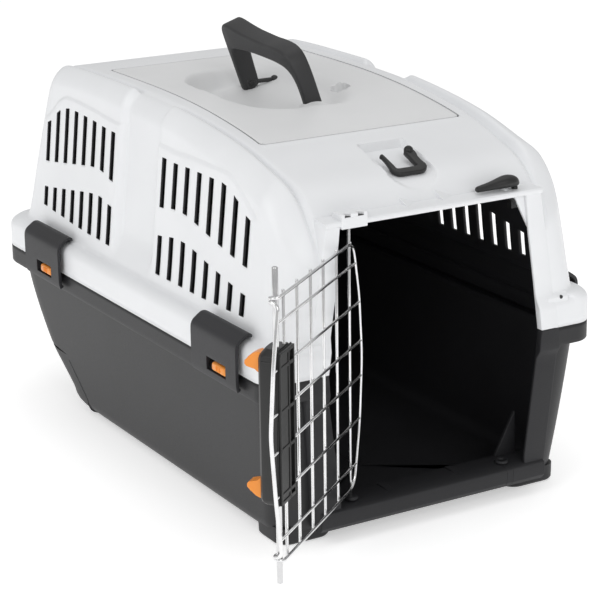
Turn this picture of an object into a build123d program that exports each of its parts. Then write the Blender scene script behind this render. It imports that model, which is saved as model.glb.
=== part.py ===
"""Two-shell travelling kennel for a small pet, all sizes in millimetres.

The origin is on the floor, under the middle of the width and near the middle of
the length.  The doorway faces -Y, +X is to the right of somebody looking into
it, and +Z is up.  The model stands
as the kennel is used at rest: the grille swung open and the handle raised.
"""
from build123d import *
import os

os.makedirs("parts", exist_ok=True)

# ---------------------------------------------------------------- driving dimensions
wall = 2.0                      # moulded wall of both shells
fit_gap = 0.4                   # clearance between mating plastic parts

rim_half_width = 173.5          # the rim is the widest and longest part
rim_front = -284.0
rim_rear = 275.0
rim_corner = 30.0
seam_z = 158.0                  # where the two shells meet
upper_rim_top = 188.0
lower_rim_bottom = 140.0

foot_height = 5.0               # the tray's underside stands this high
tray_top_half = 164.0           # tray walls under the rim
tray_top_front = -277.0
tray_top_rear = 266.0
tray_floor_half = 150.0         # tray walls near the floor
tray_floor_front = -266.0
tray_floor_rear = 236.0

cover_low_half = 160.5          # upper shell walls at the rim's top
cover_low_front = -276.0
cover_low_rear = 263.0
cover_high_half = 143.0         # upper shell walls at the roof
cover_high_front = -271.0
cover_high_rear = 220.0
body_corner = 42.0
cover_high_z = 356.0

door_half_top = 94.0            # doorway, half widths at the lintel, seam and sill
door_half_seam = 111.5
door_half_sill = 98.0
lintel_z = 286.5
sill_z = 31.0
jamb_width = 20.0
jamb_front = -279.0
jamb_rear = -258.0
ledge_z = 290.0                 # top of the ledge over the doorway

# roof line from front to rear, as (y, z)
roof_line = [(-262, ledge_z), (-256, 298), (-205, 326), (-163, 333), (-90, 344),
             (-10, 350), (195, 350), (216, 343), (229, 322)]

panel_half = 104.0              # loose-fitting roof panel
panel_front = -163.0
panel_rear = 135.0
panel_thick = 3.0

well_y = -16.0                  # middle of the handle's well
well_half_x = 68.0
well_half_y = 88.0
well_corner = 40.0
well_floor_z = 320.0

vent_width = 9.0                # ventilation slots in the side walls
# for each group, the middle along Y, the pitch towards the kennel's middle and, from
# the kennel's end inwards, each column's slot ends: low slot from, to, high slot from, to
vent_groups = {
    "rear": (118.0, -20.6, [(210, 229, 255, 294), (208, 232, 258, 310), (207, 235, 261, 316),
                            (205, 238, 264, 316), (204, 241, 267, 315), (203, 244, 270, 314),
                            (203, 245, 270, 312), (202, 240, 264, 311)]),
    "front": (-138.5, 22.4, [(201, 220, 244, 285), (200, 224, 248, 299), (200, 228, 252, 307),
                             (199, 232, 256, 307), (199, 237, 261, 307), (199, 240, 265, 307),
                             (199, 239, 265, 306), (199, 235, 261, 307)]),
}
rear_slot_pitch = 21.5
rear_slot_count = 8
rear_slot_z = (210.0, 258.0)

hinge_x, hinge_y = -81.0, -267.0
open_angle = 142.0              # how far the grille stands open
running = 0.06                  # radial clearance of turning and sliding rods
hinge_rod_r = 1.5
hinge_rod_span = (20.5, 293.0)
wire_r = 1.25
cross_wire_y = 2.5              # cross wires, inwards from the hinge rod
upright_y = 0.3                 # uprights are welded to their outer side
cross_wire_z = [246.0, 209.0, 173.0, 141.0, 103.0, 64.0]
upright_s = [31.0, 62.0, 91.0, 121.0, 150.0]
# outline wire of the grille as (distance from the hinge rod, z)
outline = [(-3, 266), (-18, 215), (-24, 158), (-18, 102), (-3, 44),
           (165, 44), (178, 102), (186, 158), (178, 215), (165, 266)]

latch_rod_s = 161.0             # hinge rod to latch rods
latch_rod_y = -1.9
latch_rod_r = 2.5
latch_tips = (23.0, 289.5)      # outer ends of the lower and upper rod at rest
latch_ends = (132.0, 186.0)     # their inner ends
rod_travel = 10.0
housing_s = (141.0, 172.0)      # latch housing, across the grille
housing_z = (94.0, 224.0)
housing_y = (-15.0, 2.3)        # outer shell of the housing
cover_y = (2.5, 5.8)            # ribbed inner cover
tab_z = (106.0, 212.0)          # thumb tabs on the lower and upper rod
tab_reach = -27.0
spring_r = 2.0
spring_wire_r = 0.5
spring_turns = 9

lever_x, lever_y = 88.7, -270.0  # safety lever beside the upper latch socket
lever_stem_r = 3.0
lever_tail = 37.0

handle_pivot_z = 342.0
handle_tilt = 18.0              # the raised handle leans to -X
handle_half = 63.0
handle_width = 20.0
handle_reach = 66.0             # pivot to the top of the grip
grip_depth = 19.0
leg_thick = 9.0
handle_pin_r = 3.0
peg_reach = 27.0                # peg on the handle's rear leg
peg_r = 2.0
peg_ball_r = 3.8

bail_length = 24.7              # pivot to cross bar of a strap bail
bail_half = 16.0
bail_pin_r = 2.0
bail_depth = 8.0                # depth of its pocket
front_bail = Plane(origin=(0, -214, 320), x_dir=(1, 0, 0), z_dir=(0, -0.364, 0.931))
rear_bail = Plane(origin=(0, 231.6, 306), x_dir=(-1, 0, 0), z_dir=(0, 0.969, 0.248))

clip_centres = {"rear": 153.0, "front": -206.0}
clip_half = 40.0
clip_inner, clip_outer = 174.0, 181.0
clip_hook_reach = 162.5
clip_hook_z = (188.4, 195.0)
clip_pivot_x, clip_pivot_z = 177.0, 146.0
clip_pin_r = 1.6
lock_z = 157.0
lock_offset = -5.0              # the lock rests at the front end of its window


# ---------------------------------------------------------------- building blocks
def box_between(x, y, z):
    """A block from its low and high limits along each axis."""
    size = (x[1] - x[0], y[1] - y[0], z[1] - z[0])
    middle = ((x[0] + x[1]) / 2, (y[0] + y[1]) / 2, (z[0] + z[1]) / 2)
    return Pos(*middle) * Box(*size)


def plan_section(z, half_x, front, rear, corner):
    """A rounded rectangle in plan at height z."""
    sketch = Plane.XY.offset(z) * Pos(0, (front + rear) / 2) * RectangleRounded(
        2 * half_x, rear - front, corner)
    return sketch


def plan_prism(z0, z1, half_x, front, rear, corner):
    """A rounded rectangle in plan between two heights."""
    return extrude(plan_section(z0, half_x, front, rear, corner), z1 - z0)


def side_prism(points, x0, x1):
    """A profile in the YZ plane, given as (y, z) points, between x0 and x1."""
    face = make_face(Polyline(*[(x0, y, z) for y, z in points], close=True))
    return extrude(face, x1 - x0, dir=(1, 0, 0))


def front_prism(points, y0, y1):
    """A profile in the XZ plane, given as (x, z) points, between y0 and y1."""
    face = make_face(Polyline(*[(x, y0, z) for x, z in points], close=True))
    return extrude(face, y1 - y0, dir=(0, 1, 0))


def rod(start, end, radius):
    """A round bar between two points."""
    path = Vector(*end) - Vector(*start)
    plane = Plane(origin=start, z_dir=path)
    return extrude(plane * Circle(radius), path.length)


def mirrored_pair(points):
    """Close a half profile about the middle plane."""
    return points + [(-x, z) for x, z in reversed(points)]


def save(name, shape, color):
    shape.label = name
    shape.color = Color(*color)
    export_step(shape, f"parts/{name}.step")


# ---------------------------------------------------------------- shells
def doorway():
    """The hole that the pet walks through."""
    half = [(door_half_sill, sill_z), (door_half_seam, seam_z), (door_half_top, lintel_z)]
    return front_prism(mirrored_pair(half), -300, -225)


def tapered_body(z0, z1, low, high, z_low, z_high, inset):
    """A loft whose rounded rectangle changes linearly from z_low to z_high."""
    sections = []
    for z in (z0, z1):
        t = (z - z_low) / (z_high - z_low)
        half, front, rear = [a + (b - a) * t for a, b in zip(low, high)]
        sections.append(plan_section(z, half - inset, front + inset, rear - inset,
                                     body_corner - inset))
    return loft(sections)


def cover_body(inset):
    """Form of the upper shell above its rim, moved inwards by inset."""
    low = (cover_low_half, cover_low_front, cover_low_rear)
    high = (cover_high_half, cover_high_front, cover_high_rear)
    bottom = seam_z - 20 if inset else upper_rim_top - wall
    body = tapered_body(bottom, cover_high_z, low, high, upper_rim_top, cover_high_z, inset)
    roof = [(y, z - inset * 1.05) for y, z in roof_line]
    side = [(-330, 120), (-330, roof[0][1])] + roof + [(330, 300), (330, 120)]
    shoulder = [(190, 120), (190, 300), (150 - inset, 316 - inset),
                (139 - inset, 337 - inset), (120 - inset / 2, 351 - inset)]
    body &= side_prism(side, -200, 200)
    body &= front_prism(mirrored_pair(shoulder), -330, 330)
    return body


def tray_body(inset):
    """Form of the tray, moved inwards by inset."""
    low = (tray_floor_half, tray_floor_front, tray_floor_rear)
    high = (tray_top_half, tray_top_front, tray_top_rear)
    floor = foot_height + inset
    top = seam_z + 5 if inset else seam_z - 2
    body = tapered_body(floor, top, low, high, foot_height, lower_rim_bottom, inset)
    rear = [(170, 5), (198, 22), (226, 54), (248, 89), (263, 123), (300, 170)]
    side = [(-330, floor)] + [(y - inset, z + inset * 0.6) for y, z in rear[1:]]
    side = [(-330, 220), (-330, floor), (rear[0][0] - inset, floor)] + side[1:] + [(300, 220)]
    bevel = [(138 - inset, floor), (152 - inset, 17 + inset / 2), (220, 17 + inset / 2),
             (220, 220)]
    body &= side_prism(side, -200, 200)
    body &= front_prism(mirrored_pair(bevel), -330, 330)
    return body


def roof_height(y):
    for (y0, z0), (y1, z1) in zip(roof_line, roof_line[1:]):
        if y0 <= y <= y1:
            return z0 + (z1 - z0) * (y - y0) / (y1 - y0)
    raise ValueError("outside the roof")


def roof_strip(over, under, front, rear, half_x):
    """A slab that follows the roof line, from over above it to under below it."""
    inner = [(y, z) for y, z in roof_line if front < y < rear]
    line = [(front, roof_height(front))] + inner + [(rear, roof_height(rear))]
    outline_points = [(y, z + over) for y, z in line]
    outline_points += [(y, z - under) for y, z in reversed(line)]
    return side_prism(outline_points, -half_x, half_x)


def vent_slots():
    """Bars that cut every side slot through both walls."""
    slots = []
    for middle, pitch, rows in vent_groups.values():
        for i, (low_from, low_to, high_from, high_to) in enumerate(rows):
            y = middle + (i - (len(rows) - 1) / 2) * pitch
            for span in ((low_from, low_to), (high_from, high_to)):
                slots.append(box_between((-190, 190), (y - vent_width / 2, y + vent_width / 2),
                                         span))
    return slots


def rear_slots():
    """Bars that cut the slots of the rear wall."""
    slots = []
    for i in range(rear_slot_count):
        x = (i - (rear_slot_count - 1) / 2) * rear_slot_pitch
        slots.append(box_between((x - vent_width / 2, x + vent_width / 2), (200, 300),
                                 rear_slot_z))
    return slots


def latch_groove(z0, z1):
    """Room for a latch rod's tip as the grille swings shut."""
    return box_between((hinge_x + latch_rod_s - 4.7, hinge_x + latch_rod_s + 3.3),
                       (-310, hinge_y + latch_rod_y + latch_rod_r + 0.6), (z0, z1))


def bail_block(plane):
    """Walls of a strap bail's pocket, behind the shell's skin."""
    return plane * box_between((-bail_half - 5.5, bail_half + 5.5), (-36.5, 10),
                               (-bail_depth - wall, -0.5))


def bail_pocket(plane):
    """Space cut for a strap bail and its two pivots."""
    room = plane * box_between((-bail_half - 1.5, bail_half + 1.5), (-33, 7), (-bail_depth, 20))
    holes = plane * Rot(0, 90, 0) * Cylinder(bail_pin_r + running, 2 * (bail_half + 4.6))
    return [room, holes]


def gusset(side):
    """Triangular web in an upper corner of the doorway."""
    points = [(side * 84, lintel_z + 1), (side * 104, lintel_z + 1), (side * 104, 252)]
    return front_prism(points, jamb_rear - 1, jamb_rear + 2)


def upper_frame():
    """Posts and ledge round the upper half of the doorway, hollow from behind."""
    outer = [(door_half_seam + jamb_width, seam_z), (door_half_top + jamb_width, ledge_z)]
    frame = front_prism(mirrored_pair(outer), jamb_front, jamb_rear)
    for side in (-1, 1):
        core = [(side * (door_half_seam + wall), seam_z - 1),
                (side * (door_half_seam + jamb_width - wall), seam_z - 1),
                (side * (door_half_top + jamb_width - wall), lintel_z),
                (side * (door_half_top + wall), lintel_z)]
        frame -= front_prism(core, jamb_front + wall, jamb_rear + 1)
    return frame


def upper_shell():
    shell = plan_prism(seam_z, upper_rim_top, rim_half_width, rim_front, rim_rear, rim_corner)
    shell -= plan_prism(seam_z - 1, upper_rim_top - wall, rim_half_width - wall,
                        rim_front + wall, rim_rear - wall, rim_corner - wall)
    seat = roof_strip(-1, 7.2, panel_front - 11, panel_rear + 11, panel_half + 11)
    shell += cover_body(0)
    shell -= cover_body(wall)
    shell += seat
    shell += bail_block(front_bail)
    shell += bail_block(rear_bail)
    shell += upper_frame()
    shell += box_between((-97, -70), (jamb_front, -255), (lintel_z, 299))
    cuts = [doorway(),
            roof_strip(20, panel_thick + 0.2, panel_front - fit_gap, panel_rear + fit_gap,
                       panel_half + fit_gap),
            plan_prism(300, 360, well_half_x + 8, well_y - well_half_y - 8,
                       well_y + well_half_y + 8, well_corner + 8)]
    cuts += vent_slots() + rear_slots() + bail_pocket(front_bail) + bail_pocket(rear_bail)
    cuts.append(latch_groove(lintel_z - 2, ledge_z + 0.5))
    cuts.append(rod((hinge_x, hinge_y, lintel_z - 1), (hinge_x, hinge_y, 294.5),
                    hinge_rod_r + running))
    cuts.append(rod((lever_x, lever_y, lintel_z - 1), (lever_x, lever_y, 299),
                    lever_stem_r + running))
    shell -= cuts
    shell += [gusset(-1), gusset(1)]
    return shell


def lower_frame():
    """Posts and sill round the lower half of the doorway."""
    outer = [(door_half_sill + jamb_width, foot_height + 3),
             (door_half_seam + jamb_width, seam_z)]
    frame = front_prism(mirrored_pair(outer), jamb_front, jamb_rear)
    for side in (-1, 1):
        core = [(side * (door_half_seam + wall), seam_z + 1),
                (side * (door_half_seam + jamb_width - wall), seam_z + 1),
                (side * (door_half_sill + jamb_width - wall), sill_z),
                (side * (door_half_sill + wall), sill_z)]
        frame -= front_prism(core, jamb_front + wall, jamb_rear + 1)
    return frame


def lower_tray():
    tray = plan_prism(lower_rim_bottom, seam_z, rim_half_width, rim_front, rim_rear, rim_corner)
    tray -= plan_prism(lower_rim_bottom + wall, seam_z + 1, rim_half_width - wall,
                       rim_front + wall, rim_rear - wall, rim_corner - wall)
    tray += tray_body(0)
    tray -= tray_body(wall)
    tray += lower_frame()
    for x, y in ((-127, -240), (127, -240), (-118, 140), (118, 140)):
        tray += Pos(x, y, (foot_height + 3) / 2) * Cylinder(16, foot_height + 3)
    for side in (-1, 1):
        for centre in clip_centres.values():
            for end in (-1, 1):
                y = centre + end * (clip_half + 3)
                tray += box_between(sorted((side * (rim_half_width - 1), side * 180.5)),
                                    (y - 2.2, y + 2.2), (141.5, 150.5))
    cuts = [doorway(), latch_groove(latch_tips[0] - 1, sill_z + 10),
            rod((hinge_x, hinge_y, 19.5), (hinge_x, hinge_y, sill_z + 1),
                hinge_rod_r + running)]
    for side in (-1, 1):
        cuts.append(rod((side * clip_pivot_x, -290, clip_pivot_z),
                        (side * clip_pivot_x, 290, clip_pivot_z), clip_pin_r))
    tray -= cuts
    return tray


# ---------------------------------------------------------------- roof panel and handle
def roof_panel():
    """Lid of the roof with the handle's well and the lugs that hold its pins."""
    under_roof = roof_strip(0, 60, panel_front, panel_rear, panel_half)
    panel = roof_strip(0, panel_thick, panel_front, panel_rear, panel_half)
    tub = plan_prism(well_floor_z - wall, 360, well_half_x + wall, well_y - well_half_y - wall,
                     well_y + well_half_y + wall, well_corner + wall)
    panel += tub & under_roof
    panel -= plan_prism(well_floor_z, 365, well_half_x, well_y - well_half_y,
                        well_y + well_half_y, well_corner)
    for end in (-1, 1):
        face = well_y + end * (handle_half + 0.4)
        back = well_y + end * (well_half_y + 1)
        panel += box_between((-9, 9), sorted((face, back)), (well_floor_z - 1, handle_pivot_z + 6.5))
    for start, finish in pin_spans():
        panel -= rod((0, start, handle_pivot_z), (0, finish, handle_pivot_z),
                     handle_pin_r)
    return panel


def pin_spans():
    """Ends of the front and rear handle pins along Y."""
    outside = handle_half + 15
    return ((well_y - outside, well_y - handle_half + leg_thick + 3),
            (well_y + outside, well_y + handle_half - leg_thick - 1))


def handle_pin(span):
    return rod((0, span[0], handle_pivot_z), (0, span[1], handle_pivot_z), handle_pin_r)


def handle_peg():
    """Peg with a ball end on the rear leg, level when the handle is up."""
    y = well_y + handle_half - leg_thick / 2 - 1
    z = handle_pivot_z + 1
    peg = rod((leg_thick / 2, y, z), (peg_reach, y, z), peg_r)
    peg += Pos(peg_reach, y, z) * Sphere(peg_ball_r)
    return peg


def carry_handle():
    """Folding grip, drawn upright on its pivot and then leaned over."""
    leg = leg_thick
    arch = [(-handle_half, -8), (-handle_half, handle_reach - 16),
            (-handle_half + 12, handle_reach - 3), (0, handle_reach - 5),
            (handle_half - 12, handle_reach), (handle_half, handle_reach - 12),
            (handle_half, -8), (handle_half - leg, -8),
            (handle_half - leg - 3, handle_reach - grip_depth - 8),
            (handle_half - leg - 12, handle_reach - grip_depth - 1),
            (-handle_half + leg + 12, handle_reach - grip_depth - 4),
            (-handle_half + leg + 3, handle_reach - grip_depth - 10),
            (-handle_half + leg, -8)]
    grip = side_prism(arch, -handle_width / 2, handle_width / 2)
    upper_edges = [edge for edge in grip.edges()
                   if abs(abs(edge.center().X) - handle_width / 2) < 0.01
                   and edge.center().Z > 10]
    grip = fillet(upper_edges, 3)
    handle = Pos(0, well_y, handle_pivot_z) * Rot(0, -handle_tilt, 0) * grip
    handle += handle_peg()
    handle -= rod((0, well_y - 90, handle_pivot_z), (0, well_y + 90, handle_pivot_z),
                  handle_pin_r + running)
    return handle


def strap_bail(plane):
    """U-shaped loop for a shoulder strap, hanging along its plane's -Y."""
    bail = rod((-bail_half + 2.5, -bail_length, 0), (bail_half - 2.5, -bail_length, 0), 3.2)
    for side in (-1, 1):
        leg = box_between(sorted((side * (bail_half - 5), side * bail_half)),
                          (-bail_length, 0), (-2.6, 2.6))
        bail += leg
        bail += rod((side * (bail_half - 5), 0, 0), (side * bail_half, 0, 0), 3.4)
        bail += rod((side * (bail_half - 5), -bail_length, 0),
                    (side * bail_half, -bail_length, 0), 3.2)
        bail += rod((side * (bail_half - 1), 0, 0), (side * (bail_half + 4.4), 0, 0), bail_pin_r)
    return plane * bail


# ---------------------------------------------------------------- grille and latch
def swung(shape):
    """Place a piece, drawn with the grille closed, at the open angle."""
    return Pos(hinge_x, hinge_y) * Rot(0, 0, -open_angle) * shape


def outline_reach(z, side):
    """Distance of the outline wire from the hinge rod at height z."""
    points = outline[:5] if side < 0 else outline[5:]
    points = sorted(points, key=lambda p: p[1])
    for (s0, z0), (s1, z1) in zip(points, points[1:]):
        if z0 <= z <= z1:
            return s0 + (s1 - s0) * (z - z0) / (z1 - z0)
    raise ValueError("outside the grille")


def grille_wires(radius):
    """Every wire of the grille as separate bars, drawn closed."""
    wires = []
    for (s0, z0), (s1, z1) in zip(outline, outline[1:] + outline[:1]):
        wires.append(rod((s0, cross_wire_y, z0), (s1, cross_wire_y, z1), radius))
        wires.append(Pos(s0, cross_wire_y, z0) * Sphere(radius))
    for z in cross_wire_z:
        wires.append(rod((outline_reach(z, -1), cross_wire_y, z),
                         (outline_reach(z, 1), cross_wire_y, z), radius))
    for s in upright_s:
        wires.append(rod((s, upright_y, outline[4][1] - 1.5), (s, upright_y, outline[0][1] + 1.5),
                         radius))
    return wires


def door_grille():
    wires = grille_wires(wire_r)
    eyes = []
    for z in (outline[4][1], outline[0][1]):
        eyes.append(Pos(latch_rod_s, latch_rod_y, z) * Cylinder(3.9, 3))
    grille = wires[0].fuse(*wires[1:], *eyes)
    grille -= rod((latch_rod_s, latch_rod_y, 0), (latch_rod_s, latch_rod_y, 300),
                  latch_rod_r + running)
    return swung(grille)


def latch_housing():
    """Outer shell of the latch, hollow for the rods, tabs and springs."""
    housing = box_between(housing_s, housing_y, housing_z)
    room = box_between((latch_rod_s - 7, latch_rod_s + 7), (-12.5, housing_y[1] + 1),
                       (housing_z[0] + 4, housing_z[1] - 4))
    web = box_between((latch_rod_s - 7.5, latch_rod_s + 7.5), (-13, housing_y[1]), (157, 161))
    housing = housing - room + web
    rods = rod((latch_rod_s, latch_rod_y, housing_z[0] - 1),
               (latch_rod_s, latch_rod_y, housing_z[1] + 1), latch_rod_r + running)
    rods -= box_between((100, 200), (-50, 50), (155, 163))
    windows = [box_between((latch_rod_s - 6, latch_rod_s + 6), (-20, -10),
                           (tab_z[1] - 16, tab_z[1] + 6)),
               box_between((latch_rod_s - 6, latch_rod_s + 6), (-20, -10),
                           (tab_z[0] - 6, tab_z[0] + 16))]
    housing -= [rods] + windows + grille_wires(wire_r + 0.15)
    return swung(housing)


def latch_cover():
    """Ribbed plate that closes the housing on the grille's inner side."""
    cover = box_between(housing_s, cover_y, housing_z)
    height = housing_z[1] - housing_z[0]
    cells = [box_between((housing_s[0] + 3, housing_s[0] + 12), (cover_y[1] - 1.6, cover_y[1] + 1),
                         (housing_z[0] + 4 + i * height / 4, housing_z[0] - 4 + (i + 1) * height / 4))
             for i in range(4)]
    cover -= cells + grille_wires(wire_r + 0.15)
    return swung(cover)


def latch_rod(low, high):
    return swung(rod((latch_rod_s, latch_rod_y, low), (latch_rod_s, latch_rod_y, high),
                     latch_rod_r))


def thumb_tab(z, up):
    """Block on the latch rod with a beak that reaches through the housing."""
    block = box_between((latch_rod_s - 5.5, latch_rod_s + 5.5), (-11, 0.9), (z - 6, z + 6))
    neck = box_between((latch_rod_s - 5.5, latch_rod_s + 5.5), (-18, -10), (z - 4.5, z + 4.5))
    beak = [(-15.6, z - 7), (-15.6, z + 7), (-19, z + up * 8), (tab_reach, z + up * 5),
            (tab_reach, z), (-19, z - up * 5)]
    if up < 0:
        beak = [(-15.6, z + 7), (-15.6, z - 7)] + beak[2:]
    beak = side_prism(beak, latch_rod_s - 5.5, latch_rod_s + 5.5)
    tab = block + neck + beak
    tab -= rod((latch_rod_s, latch_rod_y, z - 20), (latch_rod_s, latch_rod_y, z + 20), latch_rod_r)
    return swung(tab)


def latch_spring(low, high):
    """Compression spring between a rod's inner end and the housing's web."""
    coil = Helix(pitch=(high - low - 3) / spring_turns, height=high - low - 3, radius=spring_r)
    section = Plane(origin=coil @ 0, z_dir=coil % 0) * Circle(spring_wire_r)
    spring = sweep(section, path=coil, is_frenet=True)
    return swung(Pos(latch_rod_s, latch_rod_y, low + 1.5) * spring)


def door_safety_lever():
    """Knob with a tail over the ledge and a catch under it, on one stem."""
    stem = rod((0, 0, lintel_z - 12), (0, 0, 298), lever_stem_r)
    knob = rod((0, 0, ledge_z + 0.4), (0, 0, 300), 7.2)
    tail = Polyline((0, -5, 291), (-lever_tail, -2, 291), (-lever_tail, 2, 291), (0, 5, 291),
                    close=True)
    knob += extrude(make_face(tail), 5)
    hub = rod((0, 0, lintel_z - 12.5), (0, 0, lintel_z - 0.3), 4.6)
    toe = box_between((-2.5, 2.5), (0, 10), (lintel_z - 12.5, lintel_z - 6))
    return Pos(lever_x, lever_y) * (stem + knob + hub + toe)


# ---------------------------------------------------------------- side clips
def side_clip(side, centre):
    """Hook over the rim with a window for its lock, hinged at its foot."""
    plate = box_between((clip_inner, clip_outer), (-clip_half, clip_half),
                        (clip_pivot_z, clip_hook_z[1]))
    hook = box_between((clip_hook_reach, clip_outer), (-clip_half, clip_half), clip_hook_z)
    foot = rod((clip_pivot_x, -clip_half, clip_pivot_z), (clip_pivot_x, clip_half, clip_pivot_z),
               3.2)
    foot += box_between((clip_pivot_x - 3, clip_pivot_x + 3.2), (-clip_half, clip_half),
                        (clip_pivot_z, clip_pivot_z + 4))
    plate -= box_between((clip_inner - 1, clip_outer + 1), (-50, 50),
                         (clip_pivot_z - 1, clip_pivot_z + 3))
    clip = plate + hook + foot
    top_edge = clip.edges().filter_by(Axis.Y).sort_by(lambda e: -e.center().X - e.center().Z)[0]
    clip = fillet(top_edge, 5)
    clip -= [box_between((clip_inner + 2.4, 190), (-17, 17), (lock_z - 5.5, lock_z + 5.5)),
             box_between((clip_inner - 1, clip_inner + 2.6), (-22, 22), (lock_z - 7.5, lock_z + 7.5)),
             rod((clip_pivot_x, -60, clip_pivot_z), (clip_pivot_x, 60, clip_pivot_z),
                 clip_pin_r + running)]
    return placed_on_side(clip, side, centre)


def placed_on_side(shape, side, centre):
    if side < 0:
        shape = mirror(shape, about=Plane.YZ)
    return Pos(0, centre) * shape


def clip_pin(side, centre):
    half = clip_half + 5
    pin = rod((clip_pivot_x, -half, clip_pivot_z), (clip_pivot_x, half, clip_pivot_z), clip_pin_r)
    return placed_on_side(pin, side, centre)


def clip_lock(side, centre):
    """Sliding button in the clip's window with a wider guide behind it."""
    knob = box_between((clip_inner + 2, clip_outer - 1.2), (-11, 11), (lock_z - 3.6, lock_z + 3.6))
    guide = box_between((clip_inner + 0.3, clip_inner + 2.3), (-14, 14), (lock_z - 7, lock_z + 7))
    lock = Pos(0, lock_offset) * (knob + guide)
    return placed_on_side(lock, side, centre)


# ---------------------------------------------------------------- write every piece
white = (0.90, 0.91, 0.92)
dark = (0.16, 0.16, 0.17)
black = (0.07, 0.07, 0.07)
orange = (0.95, 0.50, 0.12)
steel = (0.75, 0.75, 0.76)


def build_all():
    front_span, rear_span = pin_spans()
    save("lower_tray", lower_tray(), dark)
    save("upper_shell", upper_shell(), white)
    save("roof_panel", roof_panel(), white)
    save("carry_handle", carry_handle(), black)
    save("handle_pin_front", handle_pin(front_span), black)
    save("handle_pin_rear", handle_pin(rear_span), black)
    save("front_strap_bail", strap_bail(front_bail), black)
    save("rear_strap_bail", strap_bail(rear_bail), black)
    save("door_grille", door_grille(), steel)
    save("door_hinge_rod", swung(rod((0, 0, hinge_rod_span[0]), (0, 0, hinge_rod_span[1]),
                                     hinge_rod_r)), steel)
    save("latch_housing", latch_housing(), black)
    save("latch_cover", latch_cover(), black)
    save("upper_latch_rod", latch_rod(latch_ends[1], latch_tips[1]), steel)
    save("lower_latch_rod", latch_rod(latch_tips[0], latch_ends[0]), steel)
    save("upper_thumb_tab", thumb_tab(tab_z[1], 1), orange)
    save("lower_thumb_tab", thumb_tab(tab_z[0], -1), orange)
    save("upper_latch_spring", latch_spring(161, latch_ends[1]), steel)
    save("lower_latch_spring", latch_spring(latch_ends[0], 157), steel)
    save("door_safety_lever", door_safety_lever(), black)
    for side, side_name in ((-1, "left"), (1, "right")):
        for end_name, centre in clip_centres.items():
            name = f"{end_name}_{side_name}"
            save(f"side_clip_{name}", side_clip(side, centre), dark)
            save(f"clip_pin_{name}", clip_pin(side, centre), steel)
            save(f"clip_lock_{name}", clip_lock(side, centre), orange)


build_all()
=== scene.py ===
import math

import bmesh
import bpy
import numpy as np
from mathutils import Matrix, Vector


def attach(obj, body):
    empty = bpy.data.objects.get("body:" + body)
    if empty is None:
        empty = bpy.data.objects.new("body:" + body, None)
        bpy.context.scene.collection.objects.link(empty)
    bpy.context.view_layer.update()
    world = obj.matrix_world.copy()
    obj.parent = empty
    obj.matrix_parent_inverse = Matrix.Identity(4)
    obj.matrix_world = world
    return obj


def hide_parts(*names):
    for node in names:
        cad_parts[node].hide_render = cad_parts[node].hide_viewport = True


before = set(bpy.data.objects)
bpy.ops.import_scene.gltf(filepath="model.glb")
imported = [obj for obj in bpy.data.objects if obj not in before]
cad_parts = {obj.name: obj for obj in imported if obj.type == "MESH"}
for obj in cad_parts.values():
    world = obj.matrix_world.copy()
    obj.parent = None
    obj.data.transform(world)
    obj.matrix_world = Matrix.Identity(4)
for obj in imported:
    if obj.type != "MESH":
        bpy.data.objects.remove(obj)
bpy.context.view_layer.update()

# Sizes below are in millimetres, in the frame's own axes; MM turns them into metres.
MM = 0.001


# ---------------------------------------------------------------- small mathematics
def smoothstep(low, high, value):
    t = np.clip((value - low) / (high - low), 0.0, 1.0)
    return t * t * (3 - 2 * t)


def bump_between(low, high, soft, value):
    """1 between low and high, fading to 0 over soft on each side."""
    return smoothstep(low - soft, low, value) * (1 - smoothstep(high, high + soft, value))


def round_max(a, b, radius):
    """Largest of two distances, rounded where both surfaces meet."""
    inside = np.maximum(a, b)
    ra, rb = np.maximum(a + radius, 0), np.maximum(b + radius, 0)
    rounded = np.hypot(ra, rb) - radius
    return np.where((ra > 0) & (rb > 0), rounded, inside)


def smooth_curve(knots, value):
    """Monotone cubic through the knots (Fritsch and Carlson)."""
    x, y = np.array(knots, float).T
    slope = np.diff(y) / np.diff(x)
    m = np.concatenate([[slope[0]], (slope[1:] + slope[:-1]) / 2, [slope[-1]]])
    for i, s in enumerate(slope):
        if abs(s) < 1e-9:
            m[i] = m[i + 1] = 0
            continue
        a, b = m[i] / s, m[i + 1] / s
        if a < 0:
            m[i] = 0
        if b < 0:
            m[i + 1] = 0
        h = math.hypot(a, b)
        if h > 3:
            m[i], m[i + 1] = 3 * a / h * s, 3 * b / h * s
    v = np.clip(value, x[0], x[-1])
    i = np.clip(np.searchsorted(x, v) - 1, 0, len(x) - 2)
    h = x[i + 1] - x[i]
    t = (v - x[i]) / h
    return ((2 * t**3 - 3 * t**2 + 1) * y[i] + (t**3 - 2 * t**2 + t) * h * m[i]
            + (3 * t**2 - 2 * t**3) * y[i + 1] + (t**3 - t**2) * h * m[i + 1])


# ---------------------------------------------------------------- materials
def nodes_of(name):
    material = bpy.data.materials.new(name)
    material.use_nodes = True
    tree = material.node_tree
    return material, tree, tree.nodes["Principled BSDF"]


def noise(tree, scale, detail=4.0, roughness=0.55):
    place = tree.nodes.new("ShaderNodeTexCoord")
    texture = tree.nodes.new("ShaderNodeTexNoise")
    texture.inputs["Scale"].default_value = scale
    texture.inputs["Detail"].default_value = detail
    texture.inputs["Roughness"].default_value = roughness
    tree.links.new(place.outputs["Object"], texture.inputs["Vector"])
    return texture.outputs["Fac"]


def spread(tree, source, low, high, from_low=0.3, from_high=0.7):
    """The source's middle range mapped onto low to high."""
    node = tree.nodes.new("ShaderNodeMapRange")
    node.inputs["From Min"].default_value = from_low
    node.inputs["From Max"].default_value = from_high
    node.inputs["To Min"].default_value = low
    node.inputs["To Max"].default_value = high
    tree.links.new(source, node.inputs["Value"])
    return node.outputs["Result"]


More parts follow.
